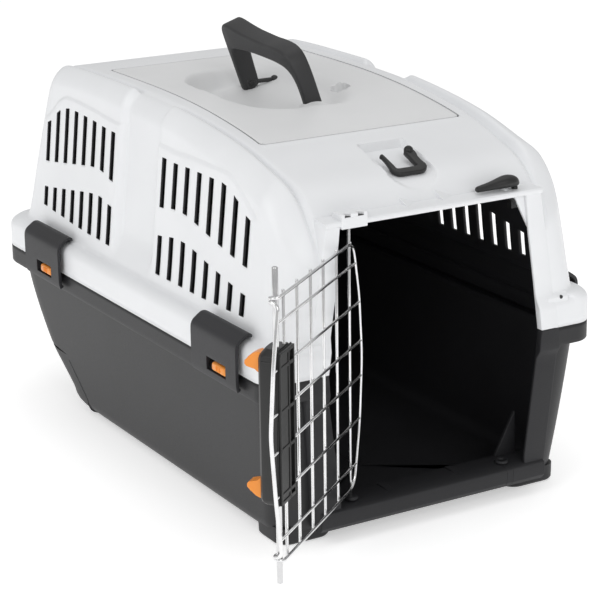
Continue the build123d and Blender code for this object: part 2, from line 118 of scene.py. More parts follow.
def tint(tree, source, dark, light):
    ramp = tree.nodes.new("ShaderNodeValToRGB")
    ramp.color_ramp.elements[0].position = 0.3
    ramp.color_ramp.elements[1].position = 0.7
    ramp.color_ramp.elements[0].color = (*dark, 1)
    ramp.color_ramp.elements[1].color = (*light, 1)
    tree.links.new(source, ramp.inputs["Fac"])
    return ramp.outputs["Color"]


def bump(tree, shader, source, distance, strength=1.0):
    node = tree.nodes.new("ShaderNodeBump")
    node.inputs["Distance"].default_value = distance
    node.inputs["Strength"].default_value = strength
    tree.links.new(source, node.inputs["Height"])
    tree.links.new(node.outputs["Normal"], shader.inputs["Normal"])


def moulded(name, dark, light, gloss, grain, grain_depth, coat=0.0):
    """Injection-moulded plastic: fine grain, a slow drift of colour and gloss."""
    material, tree, shader = nodes_of(name)
    slow = noise(tree, 9.0, 3.0)
    fine = noise(tree, grain, 5.0, 0.6)
    tree.links.new(tint(tree, slow, dark, light), shader.inputs["Base Color"])
    tree.links.new(spread(tree, fine, gloss[0], gloss[1]), shader.inputs["Roughness"])
    bump(tree, shader, fine, grain_depth)
    shader.inputs["IOR"].default_value = 1.49
    shader.inputs["Coat Weight"].default_value = coat
    return material


def plated(name, dark, light, gloss):
    """Bright plated steel wire with faint drawing marks."""
    material, tree, shader = nodes_of(name)
    marks = noise(tree, 900.0, 4.0)
    tree.links.new(tint(tree, noise(tree, 60.0), dark, light), shader.inputs["Base Color"])
    tree.links.new(spread(tree, marks, gloss[0], gloss[1]), shader.inputs["Roughness"])
    bump(tree, shader, marks, 0.00002)
    shader.inputs["Metallic"].default_value = 1.0
    return material


white_plastic = moulded("white_plastic", (0.79, 0.80, 0.815), (0.83, 0.84, 0.855),
                        (0.30, 0.42), 1400.0, 0.00003)
roof_plastic = moulded("roof_plastic", (0.73, 0.735, 0.74), (0.77, 0.775, 0.78),
                       (0.40, 0.52), 1400.0, 0.00004)
# Near-black material for the inner faces and cut slot edges of the shells and roof panel: painted
# shade standing in for their shadowed insides, not a second plastic.
painted_inner_shade = moulded("painted_inner_shade", (0.016, 0.016, 0.018), (0.024, 0.024, 0.027),
                        (0.50, 0.65), 1100.0, 0.00004)
dark_plastic = moulded("dark_plastic", (0.009, 0.009, 0.010), (0.012, 0.012, 0.014),
                       (0.42, 0.56), 1500.0, 0.00005)
frame_plastic = moulded("frame_plastic", (0.010, 0.010, 0.012), (0.014, 0.014, 0.016),
                        (0.55, 0.70), 1500.0, 0.00005)
clip_plastic = moulded("clip_plastic", (0.012, 0.012, 0.014), (0.016, 0.016, 0.019),
                       (0.44, 0.58), 1500.0, 0.00005)
black_plastic = moulded("black_plastic", (0.006, 0.006, 0.006), (0.010, 0.010, 0.010),
                        (0.34, 0.48), 1300.0, 0.00004)
grip_plastic = moulded("grip_plastic", (0.020, 0.020, 0.021), (0.028, 0.028, 0.029),
                       (0.42, 0.56), 1800.0, 0.00006)
orange_plastic = moulded("orange_plastic", (0.78, 0.24, 0.02), (0.86, 0.30, 0.04),
                         (0.28, 0.40), 1200.0, 0.00003)
bright_wire = plated("bright_wire", (0.70, 0.70, 0.71), (0.84, 0.84, 0.84), (0.10, 0.22))
bright_rod = plated("bright_rod", (0.60, 0.60, 0.61), (0.72, 0.72, 0.72), (0.10, 0.20))
spring_wire = plated("spring_wire", (0.40, 0.40, 0.41), (0.55, 0.55, 0.56), (0.22, 0.35))


# ---------------------------------------------------------------- mesh helpers
def new_object(name, points, faces, materials, body, smooth_angle=35):
    """A mesh piece from points in millimetres, riding on a body of the frame."""
    mesh = bpy.data.meshes.new(name)
    mesh.from_pydata((np.asarray(points, float) * MM).tolist(), [], faces)
    mesh.validate()
    for material in materials:
        mesh.materials.append(material)
    for polygon in mesh.polygons:
        polygon.use_smooth = True
    piece = bpy.data.objects.new(name, mesh)
    bpy.context.scene.collection.objects.link(piece)
    mesh.set_sharp_from_angle(angle=math.radians(smooth_angle))
    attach(piece, body)
    return piece


def solid(name, shapes, material, body, bevel=0.6, segments=3, angle=30):
    """One piece from closed shapes with softened edges."""
    points, faces = [], []
    for shape_points, shape_faces in shapes:
        start = len(points)
        points += list(shape_points)
        faces += [[start + i for i in face] for face in shape_faces]
    piece = new_object(name, points, faces, [material], body, angle)
    work = bmesh.new()
    work.from_mesh(piece.data)
    bmesh.ops.recalc_face_normals(work, faces=work.faces)
    work.to_mesh(piece.data)
    work.free()
    if bevel:
        soften = piece.modifiers.new("soften", "BEVEL")
        soften.width = bevel * MM
        soften.segments = segments
        soften.limit_method = "ANGLE"
        soften.angle_limit = math.radians(angle)
        soften.harden_normals = False
    return piece


def prism(outline, axis, low, high):
    """Closed prism over an outline; outline and levels follow the axis order x, y, z."""
    count = len(outline)
    order = {"x": lambda a, b, c: (c, a, b), "y": lambda a, b, c: (a, c, b),
             "z": lambda a, b, c: (a, b, c)}[axis]
    points = [order(a, b, level) for level in (low, high) for a, b in outline]
    faces = [list(range(count))[::-1], list(range(count, 2 * count))]
    faces += [[i, (i + 1) % count, count + (i + 1) % count, count + i] for i in range(count)]
    return points, faces


def block(x, y, z):
    return prism([(x[0], y[0]), (x[1], y[0]), (x[1], y[1]), (x[0], y[1])], "z", z[0], z[1])


def moved(shape, matrix):
    """A shape taken through a 4x4 matrix in millimetres."""
    points = np.asarray(shape[0], float)
    full = np.c_[points, np.ones(len(points))] @ np.asarray(matrix, float).T
    return full[:, :3].tolist(), shape[1]


def tube(path, radius, sides=16, closed=False):
    """Round bar along a path, with slightly domed ends when it is open."""
    path = np.asarray(path, float)
    if not closed:
        first, last = path[1] - path[0], path[-1] - path[-2]
        first, last = first / np.linalg.norm(first), last / np.linalg.norm(last)
        path = np.vstack([path[0], path[0] + first * radius * 0.25, path[1:-1],
                          path[-1] - last * radius * 0.25, path[-1]])
    count = len(path)
    ahead = np.roll(path, -1, 0) - path
    behind = path - np.roll(path, 1, 0)
    if not closed:
        ahead[-1], behind[0] = behind[-1], ahead[0]
    ahead /= np.linalg.norm(ahead, axis=1)[:, None]
    behind /= np.linalg.norm(behind, axis=1)[:, None]
    tangents = ahead + behind
    tangents /= np.linalg.norm(tangents, axis=1)[:, None]
    normal = np.cross(tangents[0], (0.31, 0.87, 0.38))
    points = []
    for i, (centre, tangent) in enumerate(zip(path, tangents)):
        normal = normal - tangent * (normal @ tangent)
        normal /= np.linalg.norm(normal)
        other = np.cross(tangent, normal)
        size = radius * (0.82 if not closed and i in (0, count - 1) else 1.0)
        for k in range(sides):
            a = 2 * math.pi * k / sides
            points.append(centre + size * (normal * math.cos(a) + other * math.sin(a)))
    faces = []
    for i in range(count if closed else count - 1):
        for k in range(sides):
            a, b = i * sides + k, i * sides + (k + 1) % sides
            c, d = ((i + 1) % count) * sides + (k + 1) % sides, ((i + 1) % count) * sides + k
            faces.append([a, b, c, d])
    if not closed:
        faces.append(list(range(sides))[::-1])
        faces.append(list(range((count - 1) * sides, count * sides)))
    return [tuple(p) for p in points], faces


def ball(centre, radius, rings=10, sides=16):
    points = [(centre[0], centre[1], centre[2] - radius)]
    for i in range(1, rings):
        a = math.pi * i / rings
        for k in range(sides):
            b = 2 * math.pi * k / sides
            points.append((centre[0] + radius * math.sin(a) * math.cos(b),
                           centre[1] + radius * math.sin(a) * math.sin(b),
                           centre[2] - radius * math.cos(a)))
    points.append((centre[0], centre[1], centre[2] + radius))
    last = len(points) - 1
    faces = [[0, 1 + (k + 1) % sides, 1 + k] for k in range(sides)]
    for i in range(rings - 2):
        for k in range(sides):
            a, b = 1 + i * sides + k, 1 + i * sides + (k + 1) % sides
            faces.append([a, b, b + sides, a + sides])
    faces += [[last, last - sides + k, last - sides + (k + 1) % sides] for k in range(sides)]
    return points, faces


def grid_faces(rows, columns, keep=None, around=True):
    """Quads of a grid whose columns close on themselves."""
    faces = []
    span = columns if around else columns - 1
    for r in range(rows - 1):
        for c in range(span):
            if keep is None or keep[r, c]:
                n = (c + 1) % columns
                faces.append([r * columns + c, r * columns + n,
                              (r + 1) * columns + n, (r + 1) * columns + c])
    return faces


def thicken(piece, thickness, shade_material=0):
    """Give a one-sided skin its wall, inwards, with the shade material on its inner face and cut
    edges; that material is painted shade for the shadowed inside.
    """
    wall = piece.modifiers.new("wall", "SOLIDIFY")
    wall.thickness = thickness * MM
    wall.offset = -1
    wall.use_even_offset = False
    wall.material_offset = shade_material
    wall.material_offset_rim = shade_material
    return wall


# ---------------------------------------------------------------- common form of the kennel
rim_half, rim_front, rim_rear, rim_corner = 173.5, -284.0, 275.0, (21.0, 37.0)
seam_z, lintel_z, sill_z = 158.0, 286.5, 31.0
panel_half, panel_front, panel_rear, panel_corner = 104.0, -163.0, 135.0, 5.0
wall_thickness = 2.5

vent_width = 8.4
vent_groups = {
    "rear": (118.0, -20.6, [(210, 229, 255, 294), (208, 232, 258, 310), (207, 235, 261, 316),
                            (205, 238, 264, 316), (204, 241, 267, 315), (203, 244, 270, 314),
                            (203, 245, 270, 312), (202, 240, 264, 311)]),
    "front": (-138.5, 22.4, [(201, 220, 244, 285), (200, 224, 248, 299), (200, 228, 252, 307),
                             (199, 232, 256, 307), (199, 237, 261, 307), (199, 240, 265, 307),
                             (199, 239, 265, 306), (199, 235, 261, 307)]),
}
roof_line = [(-290, 262), (-262, 290), (-252, 301), (-240, 309.5), (-205, 321.5), (-163, 333),
             (-90, 344), (-10, 350), (100, 351.5), (165, 350.5), (195, 347.5), (216, 339.5),
             (232, 326), (244, 312)]


def outline(half, front, rear, corners, side_y, end_x, corner_steps):
    """Plan outline, counter-clockwise from the front left: points and outward normals."""
    points, normals = [], []
    front_corner, rear_corner = corners

    def corner_arc(cx, cy, corner, start):
        for i in range(1, corner_steps):
            a = math.radians(start + 90 * i / corner_steps)
            points.append((cx + corner * math.cos(a), cy + corner * math.sin(a)))
            normals.append((math.cos(a), math.sin(a)))

    low, high = front + front_corner, rear - rear_corner
    front_flat, rear_flat = half - front_corner, half - rear_corner
    for x in end_x:
        points.append((x * front_flat / end_x[-1], front))
        normals.append((0, -1))
    corner_arc(front_flat, low, front_corner, -90)
    for y in side_y:
        points.append((half, low + (y - side_y[0]) * (high - low) / (side_y[-1] - side_y[0])))
        normals.append((1, 0))
    corner_arc(rear_flat, high, rear_corner, 0)
    for x in end_x[::-1]:
        points.append((x * rear_flat / end_x[-1], rear))
        normals.append((0, 1))
    corner_arc(-rear_flat, high, rear_corner, 90)
    for y in side_y[::-1]:
        points.append((-half, low + (y - side_y[0]) * (high - low) / (side_y[-1] - side_y[0])))
        normals.append((-1, 0))
    corner_arc(-front_flat, low, front_corner, 180)
    return np.array(points), np.array(normals)


def slot_columns():
    """(y, group, slot number) of each ventilation column, from front to rear."""
    found = []
    for name, (middle, pitch, rows) in vent_groups.items():
        for i in range(len(rows)):
            found.append((middle + (i - (len(rows) - 1) / 2) * pitch, name, i))
    return sorted(found)


def side_stations(low, high, step):
    """Y values of the side columns: slot edges exactly, and even steps between them."""
    edges = [low]
    for y, _, _ in slot_columns():
        edges += [y - vent_width / 2, y + vent_width / 2]
    edges.append(high)
    stations = []
    for a, b in zip(edges, edges[1:]):
        pieces = max(1, round((b - a) / step))
        stations += [a + (b - a) * i / pieces for i in range(pieces)]
    return np.array(stations + [high])


# ---------------------------------------------------------------- upper shell
cover_half_line = [(188, 160.5), (200, 158.5), (250, 153.2), (310, 147.0), (356, 142.5)]
cover_front_line = [(188, -279.2), (260, -278.4), (300, -275.0), (356, -268.0)]
cover_rear_line = [(188, 262.0), (260, 245.0), (322, 228.0), (356, 219.0)]


def channel(y):
    return bump_between(-38.0, 26.0, 10.0, y)


def slot_top(y):
    """Height of the edge above the ventilation slots, along the side."""
    knots = []
    for station, name, i in slot_columns():
        knots.append((station, vent_groups[name][2][i][3] + 8.0))
    knots = [(-240.0, 280.0)] + knots + [(212.0, 290.0)]
    return smooth_curve(knots, y)


def valley_x(y):
    """Where the valley between roof and shoulder runs."""
    return smooth_curve([(-262, 116), (-230, 117.5), (-163, 120), (-60, 122), (205, 123)], y)


def cover_field(p):
    """Below zero inside the cover's outer form, above zero outside it."""
    x, y, z = np.abs(p[..., 0]), p[..., 1], p[..., 2]
    bulged = 1 - channel(y)
    half = smooth_curve(cover_half_line, z)
    side = x - half + 7.0 * channel(y) * smoothstep(190, 222, z)
    edge = slot_top(y)
    side = side + 1.6 * bulged * smoothstep(edge, edge + 3.0, z) * bump_between(-222, 196, 14, y)
    frame_edge = post_outer(z)
    centre = 1 - smoothstep(frame_edge - 9.0, frame_edge - 3.0, x)
    front_wall = smooth_curve(cover_front_line, z)
    front = (front_wall + (-262.0 - front_wall) * centre) - y
    rear = y - smooth_curve(cover_rear_line, z)
    corner = np.where(y < 0, np.interp(z, [188, 200, 265, 300], [27, 28, 40, 47]), 42.0)
    plan = round_max(side, np.maximum(front, rear), corner)
    roof = smooth_curve(roof_line, y)
    ridge = 4.2 * bulged * smoothstep(-4, 9, x - valley_x(y)) * smoothstep(-262, -225, y)
    ridge = ridge * (1 - smoothstep(196, 214, y))
    depth = (1.0 + 4.6 * bulged) * np.exp(-((x - valley_x(y)) / 2.8) ** 2)
    depth = depth * (1 - smoothstep(198, 208, y))
    top = (z - roof - ridge + depth) * 0.97
    front_centre = centre * (1 - smoothstep(-250, -215, y))
    shoulder = 21.0 - 19.0 * front_centre
    return round_max(plan, top, shoulder)


def onto_surface(field, start, direction, reach):
    """Walk from start along direction to where the field turns positive."""
    low = np.zeros(start.shape[:-1])
    high = np.full(start.shape[:-1], float(reach))
    for _ in range(30):
        middle = (low + high) / 2
        outside = field(start + direction * middle[..., None]) > 0
        high = np.where(outside, middle, high)
        low = np.where(outside, low, middle)
    return start + direction * low[..., None]


bail_centre_x = 2.0


def bail_recess(x, y):
    """Depth of the pocket round the front strap bail."""
    u = (x - bail_centre_x) / 24.0
    round_front = np.sqrt(np.clip(1 - np.clip(u, -1, 1) ** 2, 0, 1))
    edge_front = -236.0 - 20.0 * round_front
    inside = np.minimum(1 - np.abs(u), (y - edge_front) / 24.0)
    inside = np.minimum(inside, (-186.0 - y) / 24.0)
    deepen = smoothstep(-258, -204, y)
    return (1.0 + 6.0 * deepen) * smoothstep(0.0, 0.10, inside)


def upper_shell_piece():
    side_y = side_stations(-238.0, 220.0, 2.4)
    end_x = np.linspace(-1, 1, 131)
    corner_steps = 22
    args = (side_y, end_x, corner_steps)
    rim, _ = outline(rim_half, rim_front, rim_rear, rim_corner, *args)
    base, normal = outline(160.5, -276.0, 262.0, (38.0, 42.0), *args)
    hole, _ = outline(panel_half + 1.9, panel_front - 0.7, panel_rear + 1.3,
                      (panel_corner, panel_corner), *args)
    columns = len(base)
    side = np.abs(normal[:, 0]) > 0.999
    # on the sides a column keeps its y from the rim to the roof
    base[side, 1] = np.concatenate([side_y, side_y[::-1]])
    ends = [rim_front + rim_corner[0], rim_rear - rim_corner[1]]
    rim[side, 1] = np.interp(base[side, 1], [side_y[0], -232.0, 200.0, side_y[-1]],
                             [ends[0], -240.0, 204.0, ends[1]])
    # the wall's rows end 20 mm under the roof
    wall_top = np.minimum(318.0, smooth_curve(roof_line, np.clip(base[:, 1], -262, 240)) - 20.0)

    wall_rows = 66
    heights = np.linspace(0, 1, wall_rows)
    z_grid = 193.0 + np.outer(heights, wall_top - 193.0)
    slots = slot_columns()
    holes = np.zeros((wall_rows - 1, columns), bool)
    index = np.arange(columns)
    for y, name, i in slots:
        knots_y = [s[0] for s in slots if s[1] == name]
        rows_of = [vent_groups[name][2][s[2]] for s in slots if s[1] == name]
        for low_key, high_key in ((0, 1), (2, 3)):
            low_line = np.interp([y - vent_width / 2, y + vent_width / 2], knots_y,
                                 [r[low_key] for r in rows_of])
            high_line = np.interp([y - vent_width / 2, y + vent_width / 2], knots_y,
                                  [r[high_key] for r in rows_of])
            for sign in (-1, 1):
                on_side = side & (np.sign(base[:, 0]) == sign)
                inside = on_side & (base[:, 1] > y - vent_width / 2 - 0.01) \
                    & (base[:, 1] < y + vent_width / 2 + 0.01)
                cols = index[inside]
                t = (base[cols, 1] - (y - vent_width / 2)) / vent_width
                low_z = low_line[0] + (low_line[1] - low_line[0]) * t
                high_z = high_line[0] + (high_line[1] - high_line[0]) * t
                column_z = z_grid[:, cols[0]]
                low_row = int(np.argmin(np.abs(column_z - low_line.mean())))
                high_row = int(np.argmin(np.abs(column_z - high_line.mean())))
                z_grid[low_row, cols] = low_z
                z_grid[high_row, cols] = high_z
                holes[low_row:high_row, cols[0]:cols[-1]] = True
    start = np.zeros((wall_rows, columns, 3))
    core = base - normal * 60.0
    start[:, :, :2] = core
    start[:, :, 2] = z_grid
    way = np.zeros_like(start)
    way[:, :, :2] = normal
    walls = onto_surface(cover_field, start, way, 90.0)

    # rim: upright band, rounded edge, shelf and a hollow curve into the wall
    profile = [(0.0, seam_z), (0.0, 164.0), (0.0, 171.0), (0.0, 177.5)]
    for a in np.radians(np.linspace(12, 90, 8)):
        profile.append((0.70 * (1 - math.cos(a)), 177.5 + 10.5 * math.sin(a)))
    profile += [(0.80, 188.3), (0.90, 189.2), (0.97, 190.8)]
    foot = walls[0, :, :2]
    rim_rows = []
    for u, z in profile:
        plan = rim + (foot - rim) * u
        rim_rows.append(np.c_[plan, np.full(columns, z)])

    # shoulder and roof
    pivot = base - normal * 36.0
    pivot_z = z_grid[-1]
    bend_rows, roof_rows = 30, 34
    upper = []
    for i in range(1, bend_rows + 1):
        a = math.radians(90 * i / bend_rows)
        begin = np.c_[pivot, pivot_z]
        direction = np.c_[normal * math.cos(a), np.full(columns, math.sin(a))]
        upper.append(onto_surface(cover_field, begin, direction, 120.0))
    for i in range(1, roof_rows + 1):
        t = i / roof_rows
        begin = np.c_[pivot + (hole - pivot) * t, pivot_z]
        direction = np.zeros((columns, 3))
        direction[:, 2] = 1
        upper.append(onto_surface(cover_field, begin, direction, 120.0))
    upper = np.array(upper)
    dip = bail_recess(upper[..., 0], upper[..., 1]) * (upper[..., 1] < -180)
    upper[..., 2] -= dip
    # raised lip along the panel's front edge
    near = np.clip(1 - np.abs(upper[..., 1] - (panel_front - 2.5)) / 2.6, 0, 1)
    upper[..., 2] += 0.8 * near * (np.abs(upper[..., 0]) < panel_half + 1)
    drop = [upper[-1] - np.array([0, 0, depth]) for depth in (1.0, 3.0, 8.0)]

    surface = np.concatenate([np.array(rim_rows), walls, upper, np.array(drop)])
    rows = len(surface)
    keep = np.ones((rows - 1, columns), bool)
    first_wall = len(rim_rows)
    keep[first_wall:first_wall + wall_rows - 1] = ~holes
    front = np.abs(normal[:, 1] + 1) < 1e-6
    centre_x = (surface[:-1, :, 0] + np.roll(surface[:-1, :, 0], -1, 1)) / 2
    row_z = surface[:-1, :, 2]
    limit = post_outer(row_z) - 4.5
    front_pair = front & np.roll(front, -1)
    opening = front_pair[None, :] & (np.abs(centre_x) < limit) & (row_z < lintel_z - 2)
    keep &= ~opening
    keep[:, -1] = keep[:, -2]

    flat = surface.reshape(-1, 3)
    faces = grid_faces(rows, columns, keep)
    # the inner faces and slot edges take the near-black painted shade
    piece = new_object("upper_shell_skin", flat, faces, [white_plastic, painted_inner_shade],
                       "carrier", 40)
    thicken(piece, wall_thickness, 1)
    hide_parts("upper_shell")
    return piece


# ---------------------------------------------------------------- lower tray
tray_half_line = [(5, 150.0), (20, 151.5), (140, 164.0), (158, 165.5)]
tray_front_line = [(5, -263.0), (60, -270.0), (140, -277.0), (158, -278.0)]
tray_rear_line = [(5, 150.0), (9, 172.0), (26, 192.0), (45, 215.0), (54, 226.0), (89, 249.0),
                  (123, 263.0), (140, 266.0), (158, 268.0)]


def tray_field(p):
    x, y, z = np.abs(p[..., 0]), p[..., 1], p[..., 2]
    side = x - smooth_curve(tray_half_line, z)
    front = smooth_curve(tray_front_line, z) - y
    rear = (y - smooth_curve(tray_rear_line, z)) * 0.75
    plan = round_max(side, np.maximum(front, rear), np.where(y < 0, 27.0, 38.0))
    bottom = 5.0 - z
    return round_max(plan, bottom, 13.0)


def tray_piece():
    side_y = np.linspace(-250.0, 226.0, 170)
    end_x = np.linspace(-1, 1, 131)
    args = (side_y, end_x, 22)
    rim, _ = outline(rim_half, rim_front, rim_rear, rim_corner, *args)
    base, normal = outline(164.0, -277.0, 266.0, (27.0, 40.0), *args)
    columns = len(base)
    core = base - normal * 60.0
    surface = []
    for z in (158.0, 154.0, 149.0, 144.0, 141.2):
        surface.append(np.c_[rim, np.full(columns, z)])
    heights = np.concatenate([[139.0], np.linspace(136.0, 22.0, 42)])
    wall = []
    for z in heights:
        start = np.c_[core, np.full(columns, z)]
        if z < 60:
            start[:, 1] = np.minimum(start[:, 1], 100 + z)
        wall.append(onto_surface(tray_field, start, np.c_[normal, np.zeros(columns)], 260.0))
    foot = wall[0][:, :2]
    for u, z in ((0.06, 140.2), (0.3, 140.0), (0.8, 140.0), (0.95, 139.7)):
        surface.append(np.c_[rim + (foot - rim) * u, np.full(columns, z)])
    surface += wall
    last = wall[-1]
    pivot = np.c_[last[:, :2] - normal * 30.0, np.full(columns, 22.0)]
    pivot[:, 1] = np.minimum(pivot[:, 1], 130)
    for i in range(1, 13):
        a = math.radians(90 * i / 12)
        direction = np.c_[normal * math.cos(a), np.full(columns, -math.sin(a))]
        surface.append(onto_surface(tray_field, pivot, direction, 120.0))
    edge = surface[-1]
    for t in np.linspace(0.2, 1.0, 5):
        ring = edge.copy()
        ring[:, 0] *= 1 - t
        ring[:, 1] = edge[:, 1] * (1 - t) + t * np.clip(edge[:, 1], -150, 60)
        ring[:, 2] = 5.0
        surface.append(ring)
    surface = np.array(surface)
    rows = len(surface)
    keep = np.ones((rows - 1, columns), bool)
    front = np.abs(normal[:, 1] + 1) < 1e-6
    centre_x = (surface[:-1, :, 0] + np.roll(surface[:-1, :, 0], -1, 1)) / 2
    row_z = surface[:-1, :, 2]
    limit = post_outer(row_z) - 4.5
    front_pair = front & np.roll(front, -1)
    keep &= ~(front_pair[None, :] & (np.abs(centre_x) < limit) & (row_z > sill_z - 8)
              & (surface[:-1, :, 1] < -240))
    # the tray's inner faces take the near-black painted shade
    piece = new_object("tray_skin", surface.reshape(-1, 3), grid_faces(rows, columns, keep),
                       [dark_plastic, painted_inner_shade], "carrier", 40)
    piece.data.flip_normals()
    thicken(piece, wall_thickness, 1)
    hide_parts("lower_tray")
    return piece


# ---------------------------------------------------------------- more mesh helpers
def loft(rings, cap_low=True, cap_high=True):
    """Closed skin through rings of equal point count."""
    rings = np.asarray(rings, float)
    count, sides = rings.shape[:2]
    faces = []
    for r in range(count - 1):
        for k in range(sides):
            n = (k + 1) % sides
            faces.append([r * sides + k, r * sides + n, (r + 1) * sides + n, (r + 1) * sides + k])
    if cap_low:
        faces.append(list(range(sides))[::-1])
    if cap_high:
        faces.append(list(range((count - 1) * sides, count * sides)))
    return [tuple(p) for p in rings.reshape(-1, 3)], faces


def spline(points, pieces):
    """Catmull-Rom curve through rows of numbers."""
    p = np.asarray(points, float)
    p = np.vstack([2 * p[0] - p[1], p, 2 * p[-1] - p[-2]])
    out = []
    for i in range(1, len(p) - 2):
        for k in range(pieces):
            t = k / pieces
            out.append(0.5 * (2 * p[i] + (p[i + 1] - p[i - 1]) * t
                              + (2 * p[i - 1] - 5 * p[i] + 4 * p[i + 1] - p[i + 2]) * t**2
                              + (3 * p[i] - p[i - 1] - 3 * p[i + 1] + p[i + 2]) * t**3))
    out.append(p[-2])
    return np.array(out)


def rounded_rectangle(half_a, half_b, radius, steps=4):
    """Points of a rounded rectangle, counter-clockwise."""
    radius = min(radius, half_a * 0.98, half_b * 0.98)
    points = []
    for ca, cb, start in ((1, 1, 0), (-1, 1, 90), (-1, -1, 180), (1, -1, 270)):
        for i in range(steps + 1):
            a = math.radians(start + 90 * i / steps)
            points.append((ca * (half_a - radius) + radius * math.cos(a),
                           cb * (half_b - radius) + radius * math.sin(a)))
    return np.array(points)


def fillet_path(points, radius, steps=6):
    """Polyline with its inner corners rounded."""
    points = [np.array(p, float) for p in points]
    out = [points[0]]
    for a, b, c in zip(points, points[1:], points[2:]):
        before, after = a - b, c - b
        cut = min(radius, np.linalg.norm(before) * 0.45, np.linalg.norm(after) * 0.45)
        start = b + before / np.linalg.norm(before) * cut
        end = b + after / np.linalg.norm(after) * cut
        for i in range(steps + 1):
            t = i / steps
            out.append((1 - t)**2 * start + 2 * t * (1 - t) * b + t**2 * end)
    out.append(points[-1])
    return out


def door_place(shape):
    """From the closed grille's plane (s, y, z) to where the open door stands."""
    return moved(shape, door_matrix)


hinge_x, hinge_y, open_angle = -81.0, -267.0, math.radians(142.0)
door_matrix = [[math.cos(open_angle), math.sin(open_angle), 0, hinge_x],
               [-math.sin(open_angle), math.cos(open_angle), 0, hinge_y],
               [0, 0, 1, 0], [0, 0, 0, 1]]


# ---------------------------------------------------------------- doorway
def door_half(z):
    return np.interp(z, [31, 40, 88, 137, 158, 212, 257, 286],
                     [98, 98, 104, 110, 111.5, 104, 97, 94])


def post_outer(z):
    return np.interp(z, [13, 21, 138, 155, 284, 290], [119, 120, 134, 132.5, 111.5, 110.5])


def post(levels, side):
    """Upright of the doorway frame: a thin front flange with a web behind its outer edge."""
    rings = []
    for z in levels:
        inner, outer = float(door_half(z)), float(post_outer(z))
        if side < 0:
            inner += 3.0 * float(np.interp(z, [225, 255], [0, 1]))
        face = float(np.interp(z, [131, 139, 178, 190], [-280.2, -284.3, -284.3, -280.2]))
        section = [(outer - 3.0, -262.0), (outer - 4.0, -275.4), (inner + 0.6, -276.8),
                   (inner, -277.4), (inner, face + 0.9), (inner + 0.5, face + 0.1),
                   (outer - 2.6, face), (outer - 0.9, face + 0.6), (outer, face + 2.4),
                   (outer + 1.5, -262.0)]
        rings.append([(side * x, y, z) for x, y in section])
    shape = loft(rings)
    return shape if side > 0 else (shape[0], [face[::-1] for face in shape[1]])


def upper_frame():
    levels = [158.3, 160, 175, 178, 181, 184, 187, 190, 205, 220, 235, 250, 262, 274, 286, 288.5]
    shapes = [post(levels, side) for side in (-1, 1)]
    ledge = [(-281.0, 284.9), (-281.4, 286.0), (-281.2, 288.2), (-280.0, 289.4), (-262.0, 290.0),
             (-250.0, 291.0), (-250.0, 286.4), (-276.0, 286.4), (-278.6, 284.9)]
    shapes += [prism(ledge, "x", -111.5, 76.6), prism(ledge, "x", 83.4, 111.5)]
    fore = [(-281.0, 284.9), (-281.4, 286.0), (-281.2, 288.2), (-280.0, 289.4), (-272.3, 289.7),
            (-272.3, 286.4), (-276.0, 286.4), (-278.6, 284.9)]
    back = [(-265.5, 289.9), (-262.0, 290.0), (-250.0, 291.0), (-250.0, 286.4), (-265.5, 286.4)]
    shapes += [prism(half, "x", 76.6, 83.4) for half in (fore, back)]
    shelf = [(-282.8, 181.0), (-282.6, 186.2), (-280.8, 188.0), (-279.4, 190.2), (-270.0, 190.2),
             (-270.0, 181.0)]
    shapes += [prism(shelf, "x", -141.0, -119.0), prism(shelf, "x", 119.0, 141.0)]
    for x0, x1, top in ((-25.5, -7.5, 297.5), (12.0, 31.0, 298.5)):
        shapes.append(([(x0, -253, top), (x0 + 1.5, -271, 289.4), (x1, -262, 289.4),
                        (x0, -253, 289.0), (x1 - 2, -254, 292.0)],
                       [[0, 1, 2], [0, 2, 4], [0, 3, 1], [1, 3, 2], [2, 3, 4], [0, 4, 3]]))
    corner = [(83.0, 286.0), (99.5, 286.0), (99.5, 254.0)]
    shapes.append(prism(corner, "y", -277.0, -274.0))
    # Black disc on the rim's front at a screw hole: painted shade for the hole's dark inside.
    solid("rim_screw_hole_shade", [tube([(133.5, -283.2, 185.8), (133.5, -280.0, 185.8)], 1.7, 16)],
          black_plastic, "carrier", 0)
    return solid("doorway_frame_upper", shapes, white_plastic, "carrier",
                 0.5, 2, 32)


def hinge_block():
    """Socket block over the hinge rod, with two half-moon holes along its front, floored with a
    black sheet as painted shade.
    """
    notched = [(-96.5, -267.0), (-96.5, -281.6)]
    for centre in (-90.5, -77.5):
        for i in range(9):
            a = math.radians(180 - 180 * i / 8)
            notched.append((centre + 2.9 * math.cos(a), -279.6 + 3.0 * math.sin(a)))
        notched.insert(len(notched) - 9, (centre - 2.9, -281.6))
        notched.append((centre + 2.9, -281.6))
    notched += [(-71.0, -281.6), (-71.0, -267.0)]
    shapes = [prism(notched, "z", 292.0, 295.4),
              block((-96.5, -71.0), (-281.6, -265.0), (282.5, 292.4))]
    solid("hinge_block", shapes, white_plastic, "carrier", 0.7, 3, 40)
    # Thin black sheet under the half-moon notches: painted shade on the floors of the holes.
    solid("hinge_block_hole_shade", [block((-94.0, -74.0), (-281.0, -276.0), (292.2, 292.8))],
          black_plastic, "carrier", 0)


